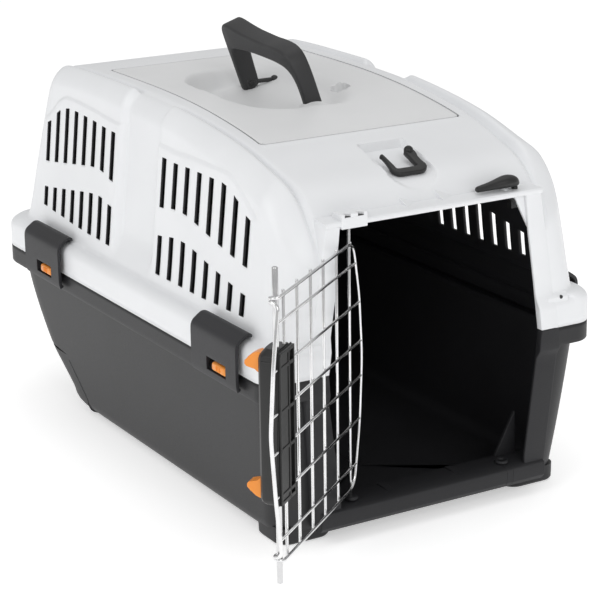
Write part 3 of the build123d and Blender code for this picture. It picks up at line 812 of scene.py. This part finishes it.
def lower_frame():
    levels = [15, 22, 31, 40, 60, 88, 110, 125, 131, 134, 137, 139, 148, 157.7]
    shapes = [post(levels, side) for side in (-1, 1)]
    sill = [(-283.6, 26.8), (-282.6, 30.6), (-280.0, 32.4), (-262.0, 33.6), (-250.0, 33.0),
            (-250.0, 15.0), (-268.0, 13.0), (-279.0, 13.6), (-282.6, 18.0)]
    shapes += [prism(sill, "x", -119.0, 76.6), prism(sill, "x", 83.4, 119.0)]
    sill_fore = [(-283.6, 26.8), (-282.6, 30.6), (-280.0, 32.4), (-272.3, 33.0), (-272.3, 13.2),
                 (-279.0, 13.6), (-282.6, 18.0)]
    sill_back = [(-265.5, 33.4), (-262.0, 33.6), (-250.0, 33.0), (-250.0, 15.0), (-265.5, 13.4)]
    shapes += [prism(half, "x", 76.6, 83.4) for half in (sill_fore, sill_back)]
    for x in (-44.0, 29.0):
        rib = [(-281.5, 31.2), (-262.0, 34.6), (-252.0, 34.6), (-252.0, 31.0)]
        shapes.append(prism(rib, "x", x, x + 7.0))
    for side in (-1, 1):
        gusset = [(side * 83.0, 33.0), (side * 106.0, 33.0), (side * 105.0, 74.0)]
        if side < 0:
            gusset = gusset[::-1]
        shapes.append(prism(gusset, "y", -254.5, -251.5))
    collar = [(80 + 4.7 * math.cos(a), -268.9 + 4.7 * math.sin(a), 34.6)
              for a in np.linspace(0, 2 * math.pi, 29)[:-1]]
    shapes.append(tube(collar, 1.9, 10, closed=True))
    shapes.append(tube([(-81, -269, 33.0), (-81, -269, 37.0)], 6.0, 24))
    return solid("doorway_frame_lower", shapes, frame_plastic, "carrier",
                 0.6, 2, 32)


def feet():
    """Rounded pads under the four corners."""
    shapes = []
    for x, y, half_x, half_y in ((-122, -238, 27, 24), (122, -238, 27, 24),
                                 (-116, 140, 22, 17), (116, 140, 22, 17)):
        rings = []
        for z, inset in ((0.0, 3.0), (0.8, 1.2), (2.4, 0.2), (9.0, 0.0), (16.0, 0.0)):
            plan = rounded_rectangle(half_x - inset, half_y - inset, 12, 6)
            rings.append([(x + a, y + b, z) for a, b in plan])
        shapes.append(loft(rings))
    return solid("feet", shapes, dark_plastic, "carrier", 0)


# ---------------------------------------------------------------- roof panel and its well
well_edge = [  # angle in degrees and distance to the well's edge, round its middle
    (90, 92), (112, 96), (142, 90), (180, 74), (206, 80), (228, 88), (250, 86), (263, 80),
    (287, 88), (312, 76), (335, 64), (360, 60), (380, 60), (410, 70), (435, 88), (450, 92)]


def well_depth(x, y):
    """Depth of the dished hollow under the handle."""
    dx, dy = x, y + 12.0
    angle = np.degrees(np.arctan2(dy, dx))
    angle = np.where(angle < 90, angle + 360, angle)
    edge = smooth_curve(well_edge, np.clip(angle, 90, 450))
    away = edge - np.hypot(dx, dy)
    floor = np.interp(x, [-70, -45, -10, 25, 60], [25, 25, 17, 10, 6])
    wall = np.interp(x, [-60, -20, 20, 60], [13, 17, 30, 26])
    depth = floor * smoothstep(0.0, 1.0, away / wall)
    collar = np.exp(-((x / 17.0) ** 2 + ((y + 76) / 15.0) ** 2) ** 1.5)
    depth = depth * (1 - 0.93 * collar)
    pocket = smoothstep(0, 2.5, 7.5 - np.hypot((x - 50) * 0.95, (y + 43) * 0.7))
    return depth + 15.0 * pocket


def roof_panel_piece():
    step_x, step_y = 105, 150
    xs = np.linspace(-panel_half, panel_half, step_x)
    ys = np.linspace(panel_front, panel_rear, step_y)
    x, y = np.meshgrid(xs, ys, indexing="ij")
    px, py = x.copy(), y.copy()
    cx = np.sign(x) * (panel_half - panel_corner)
    cy = np.where(y < 0, panel_front + panel_corner, panel_rear - panel_corner)
    dx = np.where(np.abs(x) > panel_half - panel_corner, x - cx, 0)
    dy = np.where((y < panel_front + panel_corner) | (y > panel_rear - panel_corner), y - cy, 0)
    both = (dx != 0) & (dy != 0)
    longer = np.maximum(np.abs(dx), np.abs(dy))
    scale = np.where(both, longer / np.maximum(np.hypot(dx, dy), 1e-9), 1)
    px = np.where(both, cx + dx * scale, px)
    py = np.where(both, cy + dy * scale, py)
    z = smooth_curve(roof_line, py) + 0.35
    border = np.minimum(panel_half - np.abs(px), np.minimum(py - panel_front, panel_rear - py))
    z += 0.7 * (1 - smoothstep(0, 4.0, py - panel_front)) - 0.5 * (1 - smoothstep(0, 2.0, border))
    z -= well_depth(px, py)
    points = [tuple(p) for p in np.stack([px, py, z], -1).reshape(-1, 3)]
    faces = [[i * step_y + j, (i + 1) * step_y + j, (i + 1) * step_y + j + 1, i * step_y + j + 1]
             for i in range(step_x - 1) for j in range(step_y - 1)]
    ring = [i * step_y for i in range(step_x)]
    ring += [(step_x - 1) * step_y + j for j in range(1, step_y)]
    ring += [i * step_y + step_y - 1 for i in range(step_x - 2, -1, -1)]
    ring += [j for j in range(step_y - 2, 0, -1)]
    previous = ring
    for drop in (1.2, 2.6, 2.6):
        start = len(points)
        points += [(points[i][0], points[i][1], points[i][2] - drop) for i in previous]
        fresh = list(range(start, len(points)))
        faces += [[previous[k], fresh[k], fresh[(k + 1) % len(ring)], previous[(k + 1) % len(ring)]]
                  for k in range(len(ring))]
        previous = fresh
    # the panel's underside and skirt take the near-black painted shade
    piece = new_object("roof_panel_skin", points, faces, [roof_plastic, painted_inner_shade], "carrier",
                       40)
    thicken(piece, 2.6, 1)
    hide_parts("roof_panel")
    # Dark bars under the gaps along the panel's sides: painted shade that deepens the gap lines.
    gap_shade_y = np.linspace(panel_front + 3, panel_rear - 3, 40)
    gap_shade_z = smooth_curve(roof_line, gap_shade_y) - 2.4
    gap_shades = [tube([(side * (panel_half + 0.9), y, z) for y, z in zip(gap_shade_y, gap_shade_z)], 1.5, 8)
             for side in (-1, 1)]
    solid("panel_gap_shade", gap_shades, painted_inner_shade, "carrier", 0)


# ---------------------------------------------------------------- carrying handle
handle_rings = [  # outer y, outer height, inner y, inner height, half width
    (45.5, -5.5, 41.0, -5.5, 6.5), (47.0, -3.0, 39.5, -3.0, 8.6), (47.2, 4, 39.2, 4, 9.2),
    (47.2, 20, 39.0, 20, 9.6), (47.2, 36, 38.6, 32, 10.0), (47.2, 52, 37.0, 38.5, 10.2),
    (46.2, 61.5, 33.5, 41.2, 10.4), (41.5, 66.2, 28, 42.2, 10.5), (32, 66.0, 22, 42.6, 10.4),
    (15, 62.6, 12, 42.9, 10.2), (0, 60.2, 0, 43.0, 10.0), (-15, 58.6, -15, 42.6, 10.0),
    (-30, 57.2, -30, 41.8, 10.0), (-42, 56.8, -42, 41.0, 10.1), (-52, 56.0, -50, 39.8, 10.0),
    (-61, 54.4, -58, 37.8, 9.8), (-68, 51.0, -63.5, 34.6, 9.4), (-73, 45.0, -67.2, 30.4, 9.0),
    (-76.4, 36, -69.4, 25, 8.6), (-78.4, 26, -70.8, 18, 8.4), (-79.3, 15, -71.4, 9.5, 8.4),
    (-79.5, 5, -71.6, 2.5, 8.6), (-79.3, -2.5, -71.7, -3.0, 8.8)]
tilt = math.radians(18.0)
handle_matrix = [[math.cos(tilt), 0, -math.sin(tilt), 0], [0, 1, 0, 0],
                 [math.sin(tilt), 0, math.cos(tilt), 342.0], [0, 0, 0, 1]]


def handle_piece():
    rings = []
    for outer_y, outer_r, inner_y, inner_r, half in spline(handle_rings, 4):
        middle = np.array([outer_y + inner_y, outer_r + inner_r]) / 2
        across = np.array([outer_y - inner_y, outer_r - inner_r]) / 2
        reach = np.linalg.norm(across)
        across /= reach
        plan = rounded_rectangle(half, reach, 2.6, 4)
        rings.append([(a, middle[0] + b * across[0], middle[1] + b * across[1]) for a, b in plan])
    shape = moved(loft(rings), handle_matrix)
    hub = moved(tube([(0, 47.6, 0), (0, 38.6, 0)], 6.6, 28), handle_matrix)
    peg = [tube([(5.0, 41.5, 343.0), (25.0, 41.5, 343.0)], 2.1, 16), ball((26.8, 41.5, 343.0), 3.9)]
    piece = solid("handle_grip", [shape, hub] + peg, grip_plastic, "handle",
                  0.5, 2, 50)
    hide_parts("carry_handle")


def handle_pin_pieces():
    rear = [tube([(0, 60, 342), (0, 37.4, 342)], 2.9, 20)]
    piece = solid("handle_pin_back", rear, black_plastic, "carrier", 0)
    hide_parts("handle_pin_rear")
    front = [tube([(0, -90, 341), (0, -67.5, 341)], 1.8, 20)]
    piece = solid("handle_pin_fore", front, black_plastic, "carrier", 0)
    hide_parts("handle_pin_front")


# ---------------------------------------------------------------- strap bails
def bail_piece(name, body, replaced, origin, x_dir, z_dir):
    """Flat U-shaped loop whose bar lies down the slope."""
    x_dir, z_dir = np.array(x_dir, float), np.array(z_dir, float)
    z_dir /= np.linalg.norm(z_dir)
    y_dir = np.cross(z_dir, x_dir)
    place = [[x_dir[0], y_dir[0], z_dir[0], origin[0]], [x_dir[1], y_dir[1], z_dir[1], origin[1]],
             [x_dir[2], y_dir[2], z_dir[2], origin[2]], [0, 0, 0, 1]]
    path = [(15.4, 2.0, 5.0, 2.6), (15.4, -2.0, 5.2, 2.6), (14.6, -8, 4.4, 2.5),
            (14.6, -16, 4.4, 2.4), (15.0, -21.4, 4.6, 2.4), (11.0, -24.9, 4.4, 2.4),
            (5, -25.2, 4.2, 2.3), (-5, -25.2, 4.2, 2.3), (-10.6, -25.0, 4.2, 2.4),
            (-13.8, -21.6, 3.4, 2.4), (-13.2, -16, 2.7, 2.3), (-12.8, -8, 2.1, 2.2),
            (-12.8, -2.0, 1.9, 2.2), (-12.8, 2.0, 1.7, 2.0)]
    rows = spline(path, 3)
    rings = []
    for i, (u, v, half, thick) in enumerate(rows):
        ahead = rows[min(i + 1, len(rows) - 1)][:2] - rows[max(i - 1, 0)][:2]
        ahead /= np.linalg.norm(ahead)
        side = np.array([-ahead[1], ahead[0]])
        plan = rounded_rectangle(half, thick, 1.5, 3)
        rings.append([(u + a * side[0], v + a * side[1], b) for a, b in plan])
    shapes = [loft(rings), tube([(11.0, 0, 0), (19.5, 0, 0)], 2.1, 16),
              tube([(-11.5, 0, 0), (-15.2, 0, 0)], 1.6, 16), ball((15.4, 2.4, 1.6), 4.3, 10, 16)]
    piece = solid(name, [moved(shape, place) for shape in shapes], black_plastic, body,
                  0.3, 2, 60)
    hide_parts(replaced)


# ---------------------------------------------------------------- door
grille_edge = [(-3, 266), (-18, 215), (-24, 158), (-18, 102), (-3, 44),
               (165, 44), (178, 102), (186, 158), (178, 215), (165, 266)]
cross_levels = (246, 209, 173, 141, 103, 64)
upright_places = (31, 62, 91, 121, 150)
latch_s, latch_y = 161.0, -1.9


def edge_reach(z, side):
    half = grille_edge[:5] if side < 0 else grille_edge[5:]
    half = sorted(half, key=lambda p: p[1])
    return float(np.interp(z, [p[1] for p in half], [p[0] for p in half]))


def curl(z, turn):
    """Hook of a wire's end round the latch rod."""
    points = []
    for i in range(15):
        a = math.radians(95 - 250 * i / 14)
        points.append((latch_s + 4.0 * math.cos(a), latch_y + 4.2 * math.sin(a),
                       z + turn * 2.6 * i / 14))
    return points


def grille_piece():
    shapes = []
    hinge_side = fillet_path([(150, 2.4, 266), (-3, 2.4, 266), (-18, 2.4, 215), (-24, 2.4, 158),
                              (-18, 2.4, 102), (-3, 2.4, 44), (150, 2.4, 44)], 14, 8)
    loop = curl(266, -1)[::-1] + [(156, 2.4, 266)] + [tuple(p) for p in hinge_side[1:-1]]
    loop += [(156, 2.4, 44)] + curl(44, 1)
    shapes.append(tube(loop, 1.45, 14))
    free_side = [(165.5, -5.0, 262.5), (166.5, 0.0, 261.0), (167.5, 2.6, 257.5),
                 (178, 2.6, 215), (186, 2.6, 158), (178, 2.6, 102), (167.5, 2.6, 51.5),
                 (166.5, 0.0, 48.5), (165.5, -5.0, 47.0)]
    shapes.append(tube(fillet_path(free_side, 9, 8), 1.7, 14))
    for z in cross_levels:
        shapes.append(tube([(edge_reach(z, -1) - 2.2, 2.5, z), (edge_reach(z, 1) + 0.8, 2.5, z)],
                           1.2, 14))
    for s in upright_places:
        shapes.append(tube([(s, 0.2, 41.6), (s, 0.2, 268.4)], 1.3, 14))
    for s in upright_places + (0,):
        for z in cross_levels + (266, 44):
            shapes.append(ball((s, 1.4, z), 1.15, 6, 10))
    piece = solid("grille_wires", [door_place(shape) for shape in shapes], bright_wire, "door",
                  0, angle=50)
    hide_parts("door_grille")
    pivot = [tube([(0, 0, 20.5), (0, 0, 293)], 1.55, 16)]
    piece = solid("hinge_wire", [door_place(shape) for shape in pivot], bright_wire, "door",
                  0, angle=50)
    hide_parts("door_hinge_rod")


def latch_pieces():
    plan = [(141.0, 2.2), (141.0, -9.5), (142.2, -12.8), (145.0, -14.7), (148.5, -15.0),
            (164.5, -15.0), (168.5, -14.2), (171.2, -11.8), (172.0, -8.5), (172.0, 2.2)]
    middle = np.array([156.5, -5.0])
    rings = []
    for z, inset_s, inset_y in ((94, 2.4, 2.2), (96, 0.8, 0.8), (99, 0, 0), (216, 0, 0),
                                (219, 0.5, 0.8), (224, 5.0, 4.6)):
        ring = []
        for s, y in plan:
            shift = np.array([np.sign(middle[0] - s) * inset_s,
                              (inset_y if y < -5 else 0)])
            ring.append((s + shift[0], y + shift[1], z))
        rings.append(ring)
    ridge = block((171.8, 172.5), (-11.0, 1.6), (214.0, 215.2))
    shapes = [loft(rings), ridge]
    piece = solid("latch_case", [door_place(shape) for shape in shapes], black_plastic, "door",
                  0.7, 3, 28)
    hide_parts("latch_housing")
    cells = [block((141.2, 171.8), (2.3, 3.3), (94.6, 223.0)),
             block((141.2, 143.4), (3.0, 5.7), (95.0, 222.0)),
             block((151.8, 154.0), (3.0, 5.7), (95.0, 222.0)),
             block((154.0, 171.8), (3.0, 4.9), (95.0, 219.0)),
             block((169.4, 171.8), (3.0, 5.7), (95.0, 220.0))]
    for z in (95, 101.5, 139.5, 171.5, 207.5, 219):
        cells.append(block((142.0, 171.0), (3.0, 5.7), (z, z + 3.2)))
    piece = solid("latch_inner_cover", [door_place(shape) for shape in cells], black_plastic,
                  "door", 0.35, 2, 30)
    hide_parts("latch_cover")


def latch_rod_piece(name, body, replaced, low, high):
    rod_shape = tube([(latch_s, latch_y, low), (latch_s, latch_y, high)], 2.5, 24)
    piece = solid(name, [door_place(rod_shape)], bright_rod, body, 0.3, 2, 40)
    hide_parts(replaced)


def thumb_tab_piece(name, body, replaced, z, up):
    """Beak-shaped tab: steep on the side the thumb pushes, hollowed on the other."""
    outline_points = [(-12.0, -up * 6.5), (-12.0, up * 7.5), (-15.6, up * 8.6), (-19.5, up * 7.0),
                      (-24.5, up * 2.8), (-27.0, up * 0.2), (-27.0, -up * 2.4),
                      (-25.6, -up * 4.2), (-22.0, -up * 5.2), (-18.5, -up * 6.0),
                      (-15.6, -up * 8.4)]
    if up < 0:
        outline_points = outline_points[::-1]
    beak = prism([(y, z + dz) for y, dz in outline_points], "x", latch_s - 5.3, latch_s + 5.3)
    inner = block((latch_s - 5.2, latch_s + 5.2), (-12.4, 0.8), (z - 5.5, z + 5.5))
    grooves = [block((latch_s - 5.5, latch_s + 5.5), (-22.0 - i * 2.2, -21.2 - i * 2.2),
                     (z + up * (4.6 - i * 1.7) - 0.6, z + up * (4.6 - i * 1.7) + 0.9))
               for i in range(2)]
    piece = solid(name, [door_place(shape) for shape in [beak, inner] + grooves], orange_plastic,
                  body, 0.9, 3, 40)
    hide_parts(replaced)


def spring_piece(name, replaced, low, high):
    turns, path = 9, []
    for i in range(turns * 18 + 1):
        a = 2 * math.pi * i / 18
        path.append((latch_s + 3.4 * math.cos(a), latch_y + 3.4 * math.sin(a),
                     low + 1.5 + (high - low - 3) * i / (turns * 18)))
    piece = solid(name, [door_place(tube(path, 0.5, 8))], spring_wire, "door", 0)
    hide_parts(replaced)


# ---------------------------------------------------------------- safety lever
lever_x, lever_y = 88.7, -270.0


def lever_piece():
    rings = []
    profile = [(48.0, 2.2, 292.0, 295.4), (48.8, 3.2, 291.2, 296.6), (52, 3.6, 291.0, 297.4),
               (60, 4.4, 290.9, 298.8), (67, 5.4, 290.8, 300.4), (73, 6.6, 290.7, 302.0),
               (78, 7.4, 290.7, 303.0), (83, 7.4, 290.7, 302.9), (87.5, 6.4, 290.8, 301.8),
               (90.6, 4.4, 291.4, 299.8), (92.0, 2.0, 292.8, 297.4)]
    for x, half, low, high in spline(profile, 3):
        ring = []
        for k in range(24):
            a = 2 * math.pi * k / 24
            squash = 0.82 if math.sin(a) < 0 else 1.0
            ring.append((x, lever_y + half * math.cos(a),
                         (low + high) / 2 + (high - low) / 2 * squash * math.sin(a)))
        rings.append(ring)
    shapes = [loft(rings), tube([(lever_x, lever_y, 292), (lever_x, lever_y, 274)], 2.9, 20)]
    for radius, low, high in ((6.2, 278.0, 283.6), (4.8, 273.5, 278.5)):
        shapes.append(tube([(lever_x, lever_y, high), (lever_x, lever_y, low)], radius, 28))
    shapes.append(block((83.3, 90.0), (-273.2, -267.0), (273.0, 281.0)))
    piece = solid("lever_knob", shapes, black_plastic, "safety_lever", 0.6, 3, 45)
    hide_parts("door_safety_lever")


# ---------------------------------------------------------------- side clips
clip_profile = [(162.6, 188.9), (162.4, 191.0), (163.6, 193.4), (166.4, 194.9), (169.8, 194.7),
                (172.6, 193.0), (175.6, 190.9), (178.4, 188.6), (180.4, 185.2), (181.0, 180.6),
                (181.0, 173.0), (181.0, 163.0), (180.8, 151.0), (180.3, 147.0), (179.8, 145.2),
                (179.2, 144.0)]
clip_centres = {"rear": 153.0, "front": -206.0}
clip_half = 40.0
clip_pin_x, clip_pin_z, clip_pin_r = 177.0, 146.0, 1.55


def clip_piece(side, place):
    """Curved plate that hooks over the rim, with a window for its lock."""
    centre = clip_centres[place]
    dense = spline(clip_profile, 3)
    stations = sorted(set([-1.0, -0.985, 0.985, 1.0]
                          + list(np.round(np.linspace(-0.95, 0.95, 39), 4))))
    stations = np.array(stations) * clip_half
    for edge in (-17.5, 17.5):
        stations[np.argmin(np.abs(stations - edge))] = edge
    heights = dense[:, 1]
    for edge in (151.2, 163.0):
        row = int(np.argmin(np.abs(np.where(dense[:, 0] > 180, heights, -99) - edge)))
        dense[row, 1] = edge
    run = np.concatenate([[0], np.cumsum(np.linalg.norm(np.diff(dense, axis=0), axis=1))])
    points = []
    for (x, z), s in zip(dense, run):
        for y in stations:
            limit = clip_half
            if s < 14.0:
                limit = clip_half - 14.0 + math.sqrt(max(0.0, 14.0**2 - (14.0 - s)**2))
            cut = (clip_half - limit) * (1.0 if y > 0 else 0.45)
            points.append((x, centre + y * (clip_half - cut) / clip_half, z))
    columns = len(stations)
    keep = np.ones((len(dense) - 1, columns), bool)
    for r in range(len(dense) - 1):
        for c in range(columns - 1):
            mid_y = (stations[c] + stations[c + 1]) / 2
            mid_z = (dense[r][1] + dense[r + 1][1]) / 2
            if abs(mid_y + 5.0) < 17.3 and 151.3 < mid_z < 162.9 and dense[r][0] > 180:
                keep[r, c] = False
    faces = grid_faces(len(dense), columns, keep, around=False)
    if side > 0:
        faces = [face[::-1] for face in faces]
    points = [(side * x, y, z) for x, y, z in points]
    piece = new_object(f"clip_plate_{place}_{'left' if side < 0 else 'right'}", points, faces,
                       [clip_plastic], f"clip_{place}_{'left' if side < 0 else 'right'}",
                       40)
    thicken(piece, 3.0)
    soften = piece.modifiers.new("soften", "BEVEL")
    soften.width = 0.8 * MM
    soften.segments = 3
    soften.limit_method = "ANGLE"
    soften.angle_limit = math.radians(50)
    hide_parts(f"side_clip_{place}_{'left' if side < 0 else 'right'}")


def lock_piece(side, place):
    """Orange slide in the clip's window."""
    centre = clip_centres[place] - 10.0
    rings = []
    for depth, inset in ((176.2, 0.0), (178.8, 0.0), (180.6, 0.3), (181.6, 1.3)):
        plan = rounded_rectangle(12.0 - inset, 3.9 - inset, 1.6, 4)
        rings.append([(side * depth, centre + a * side, 157.0 + b) for a, b in plan])
    slide = loft(rings)
    grip = []
    for offset in (-3.0, 0.0, 3.0):
        grip.append(block(sorted((side * 180.9, side * 182.3)),
                          (centre + offset - 0.5, centre + offset + 0.5), (154.6, 159.4)))
    name = f"{place}_{'left' if side < 0 else 'right'}"
    piece = solid(f"lock_slide_{name}", [slide] + grip, orange_plastic, f"lock_{name}",
                  0.3, 2, 40)
    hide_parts(f"clip_lock_{name}")


def clip_pin_piece(side, place):
    centre = clip_centres[place]
    name = f"{place}_{'left' if side < 0 else 'right'}"
    ends = [(side * clip_pin_x, centre + end * (clip_half - 1), clip_pin_z) for end in (-1, 1)]
    pin = tube(ends, clip_pin_r, 16)
    piece = solid(f"clip_axle_{name}", [pin], black_plastic, "carrier", 0)
    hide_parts(f"clip_pin_{name}")


upper_shell_piece()
tray_piece()
upper_frame()
hinge_block()
lower_frame()
feet()
roof_panel_piece()
handle_piece()
handle_pin_pieces()
bail_piece("bail_loop_front", "front_bail", "front_strap_bail", (0, -214, 320), (1, 0, 0),
           (0, -0.364, 0.931))
bail_piece("bail_loop_rear", "rear_bail", "rear_strap_bail", (0, 231.6, 306), (-1, 0, 0),
           (0, 0.969, 0.248))
grille_piece()
latch_pieces()
latch_rod_piece("latch_bar_upper", "upper_latch", "upper_latch_rod", 186.0, 289.5)
latch_rod_piece("latch_bar_lower", "lower_latch", "lower_latch_rod", 23.0, 132.0)
thumb_tab_piece("thumb_beak_upper", "upper_latch", "upper_thumb_tab", 212.0, 1)
thumb_tab_piece("thumb_beak_lower", "lower_latch", "lower_thumb_tab", 106.0, -1)
spring_piece("coil_upper", "upper_latch_spring", 161.0, 186.0)
spring_piece("coil_lower", "lower_latch_spring", 132.0, 157.0)
lever_piece()
for clip_side in (-1, 1):
    for clip_place in clip_centres:
        clip_piece(clip_side, clip_place)
        lock_piece(clip_side, clip_place)
        clip_pin_piece(clip_side, clip_place)


# ---------------------------------------------------------------- camera, floor and lights
def set_camera():
    """Long lens from the front left, a little above the roof."""
    azimuth, elevation, roll = math.radians(-30.5), math.radians(17.3), math.radians(-0.79)
    back = Vector((math.sin(azimuth) * math.cos(elevation),
                   -math.cos(azimuth) * math.cos(elevation), math.sin(elevation)))
    right = Vector((math.cos(azimuth), math.sin(azimuth), 0))
    up = back.cross(right)
    turned_right = right * math.cos(roll) + up * math.sin(roll)
    turned_up = up * math.cos(roll) - right * math.sin(roll)
    camera = bpy.data.objects.new("camera", bpy.data.cameras.new("camera"))
    bpy.context.scene.collection.objects.link(camera)
    camera.matrix_world = Matrix((turned_right, turned_up, back)).transposed().to_4x4()
    camera.location = (-0.974, -1.701, 0.742)
    camera.data.sensor_width = 36.0
    camera.data.lens = 125.0
    camera.data.clip_end = 50.0
    bpy.context.scene.camera = camera


def set_floor():
    mesh = bpy.data.meshes.new("studio_floor")
    mesh.from_pydata([(-8, -8, 0), (8, -8, 0), (8, 8, 0), (-8, 8, 0)], [], [[0, 1, 2, 3]])
    floor = bpy.data.objects.new("studio_floor", mesh)
    bpy.context.scene.collection.objects.link(floor)
    material, tree, shader = nodes_of("studio_floor")
    shader.inputs["Base Color"].default_value = (0.93, 0.93, 0.93, 1)
    shader.inputs["Roughness"].default_value = 0.9
    shader.inputs["Emission Color"].default_value = (1, 1, 1, 1)
    shader.inputs["Emission Strength"].default_value = 0.46
    mesh.materials.append(material)


def area_light(name, location, target, size, energy):
    data = bpy.data.lights.new(name, "AREA")
    data.shape = "RECTANGLE"
    data.size, data.size_y = size
    data.energy = energy
    lamp = bpy.data.objects.new(name, data)
    lamp.location = location
    lamp.rotation_mode = "QUATERNION"
    lamp.rotation_quaternion = (Vector(target) - Vector(location)).to_track_quat("-Z", "Y")
    bpy.context.scene.collection.objects.link(lamp)


def set_lights():
    world = bpy.data.worlds.new("studio")
    bpy.context.scene.world = world
    world.use_nodes = True
    world.node_tree.nodes["Background"].inputs["Color"].default_value = (1, 1, 1, 1)
    world.node_tree.nodes["Background"].inputs["Strength"].default_value = 0.56
    area_light("key", (-2.4, -0.7, 1.9), (0, 0, 0.2), (1.6, 1.6), 16)
    area_light("fill", (-0.4, -2.9, 1.9), (0, 0, 0.2), (1.6, 1.2), 17)
    area_light("top", (0.5, 0.2, 2.8), (0, 0, 0.3), (2.0, 2.0), 10)


set_camera()
set_floor()
set_lights()
bpy.context.scene.view_settings.view_transform = "Standard"
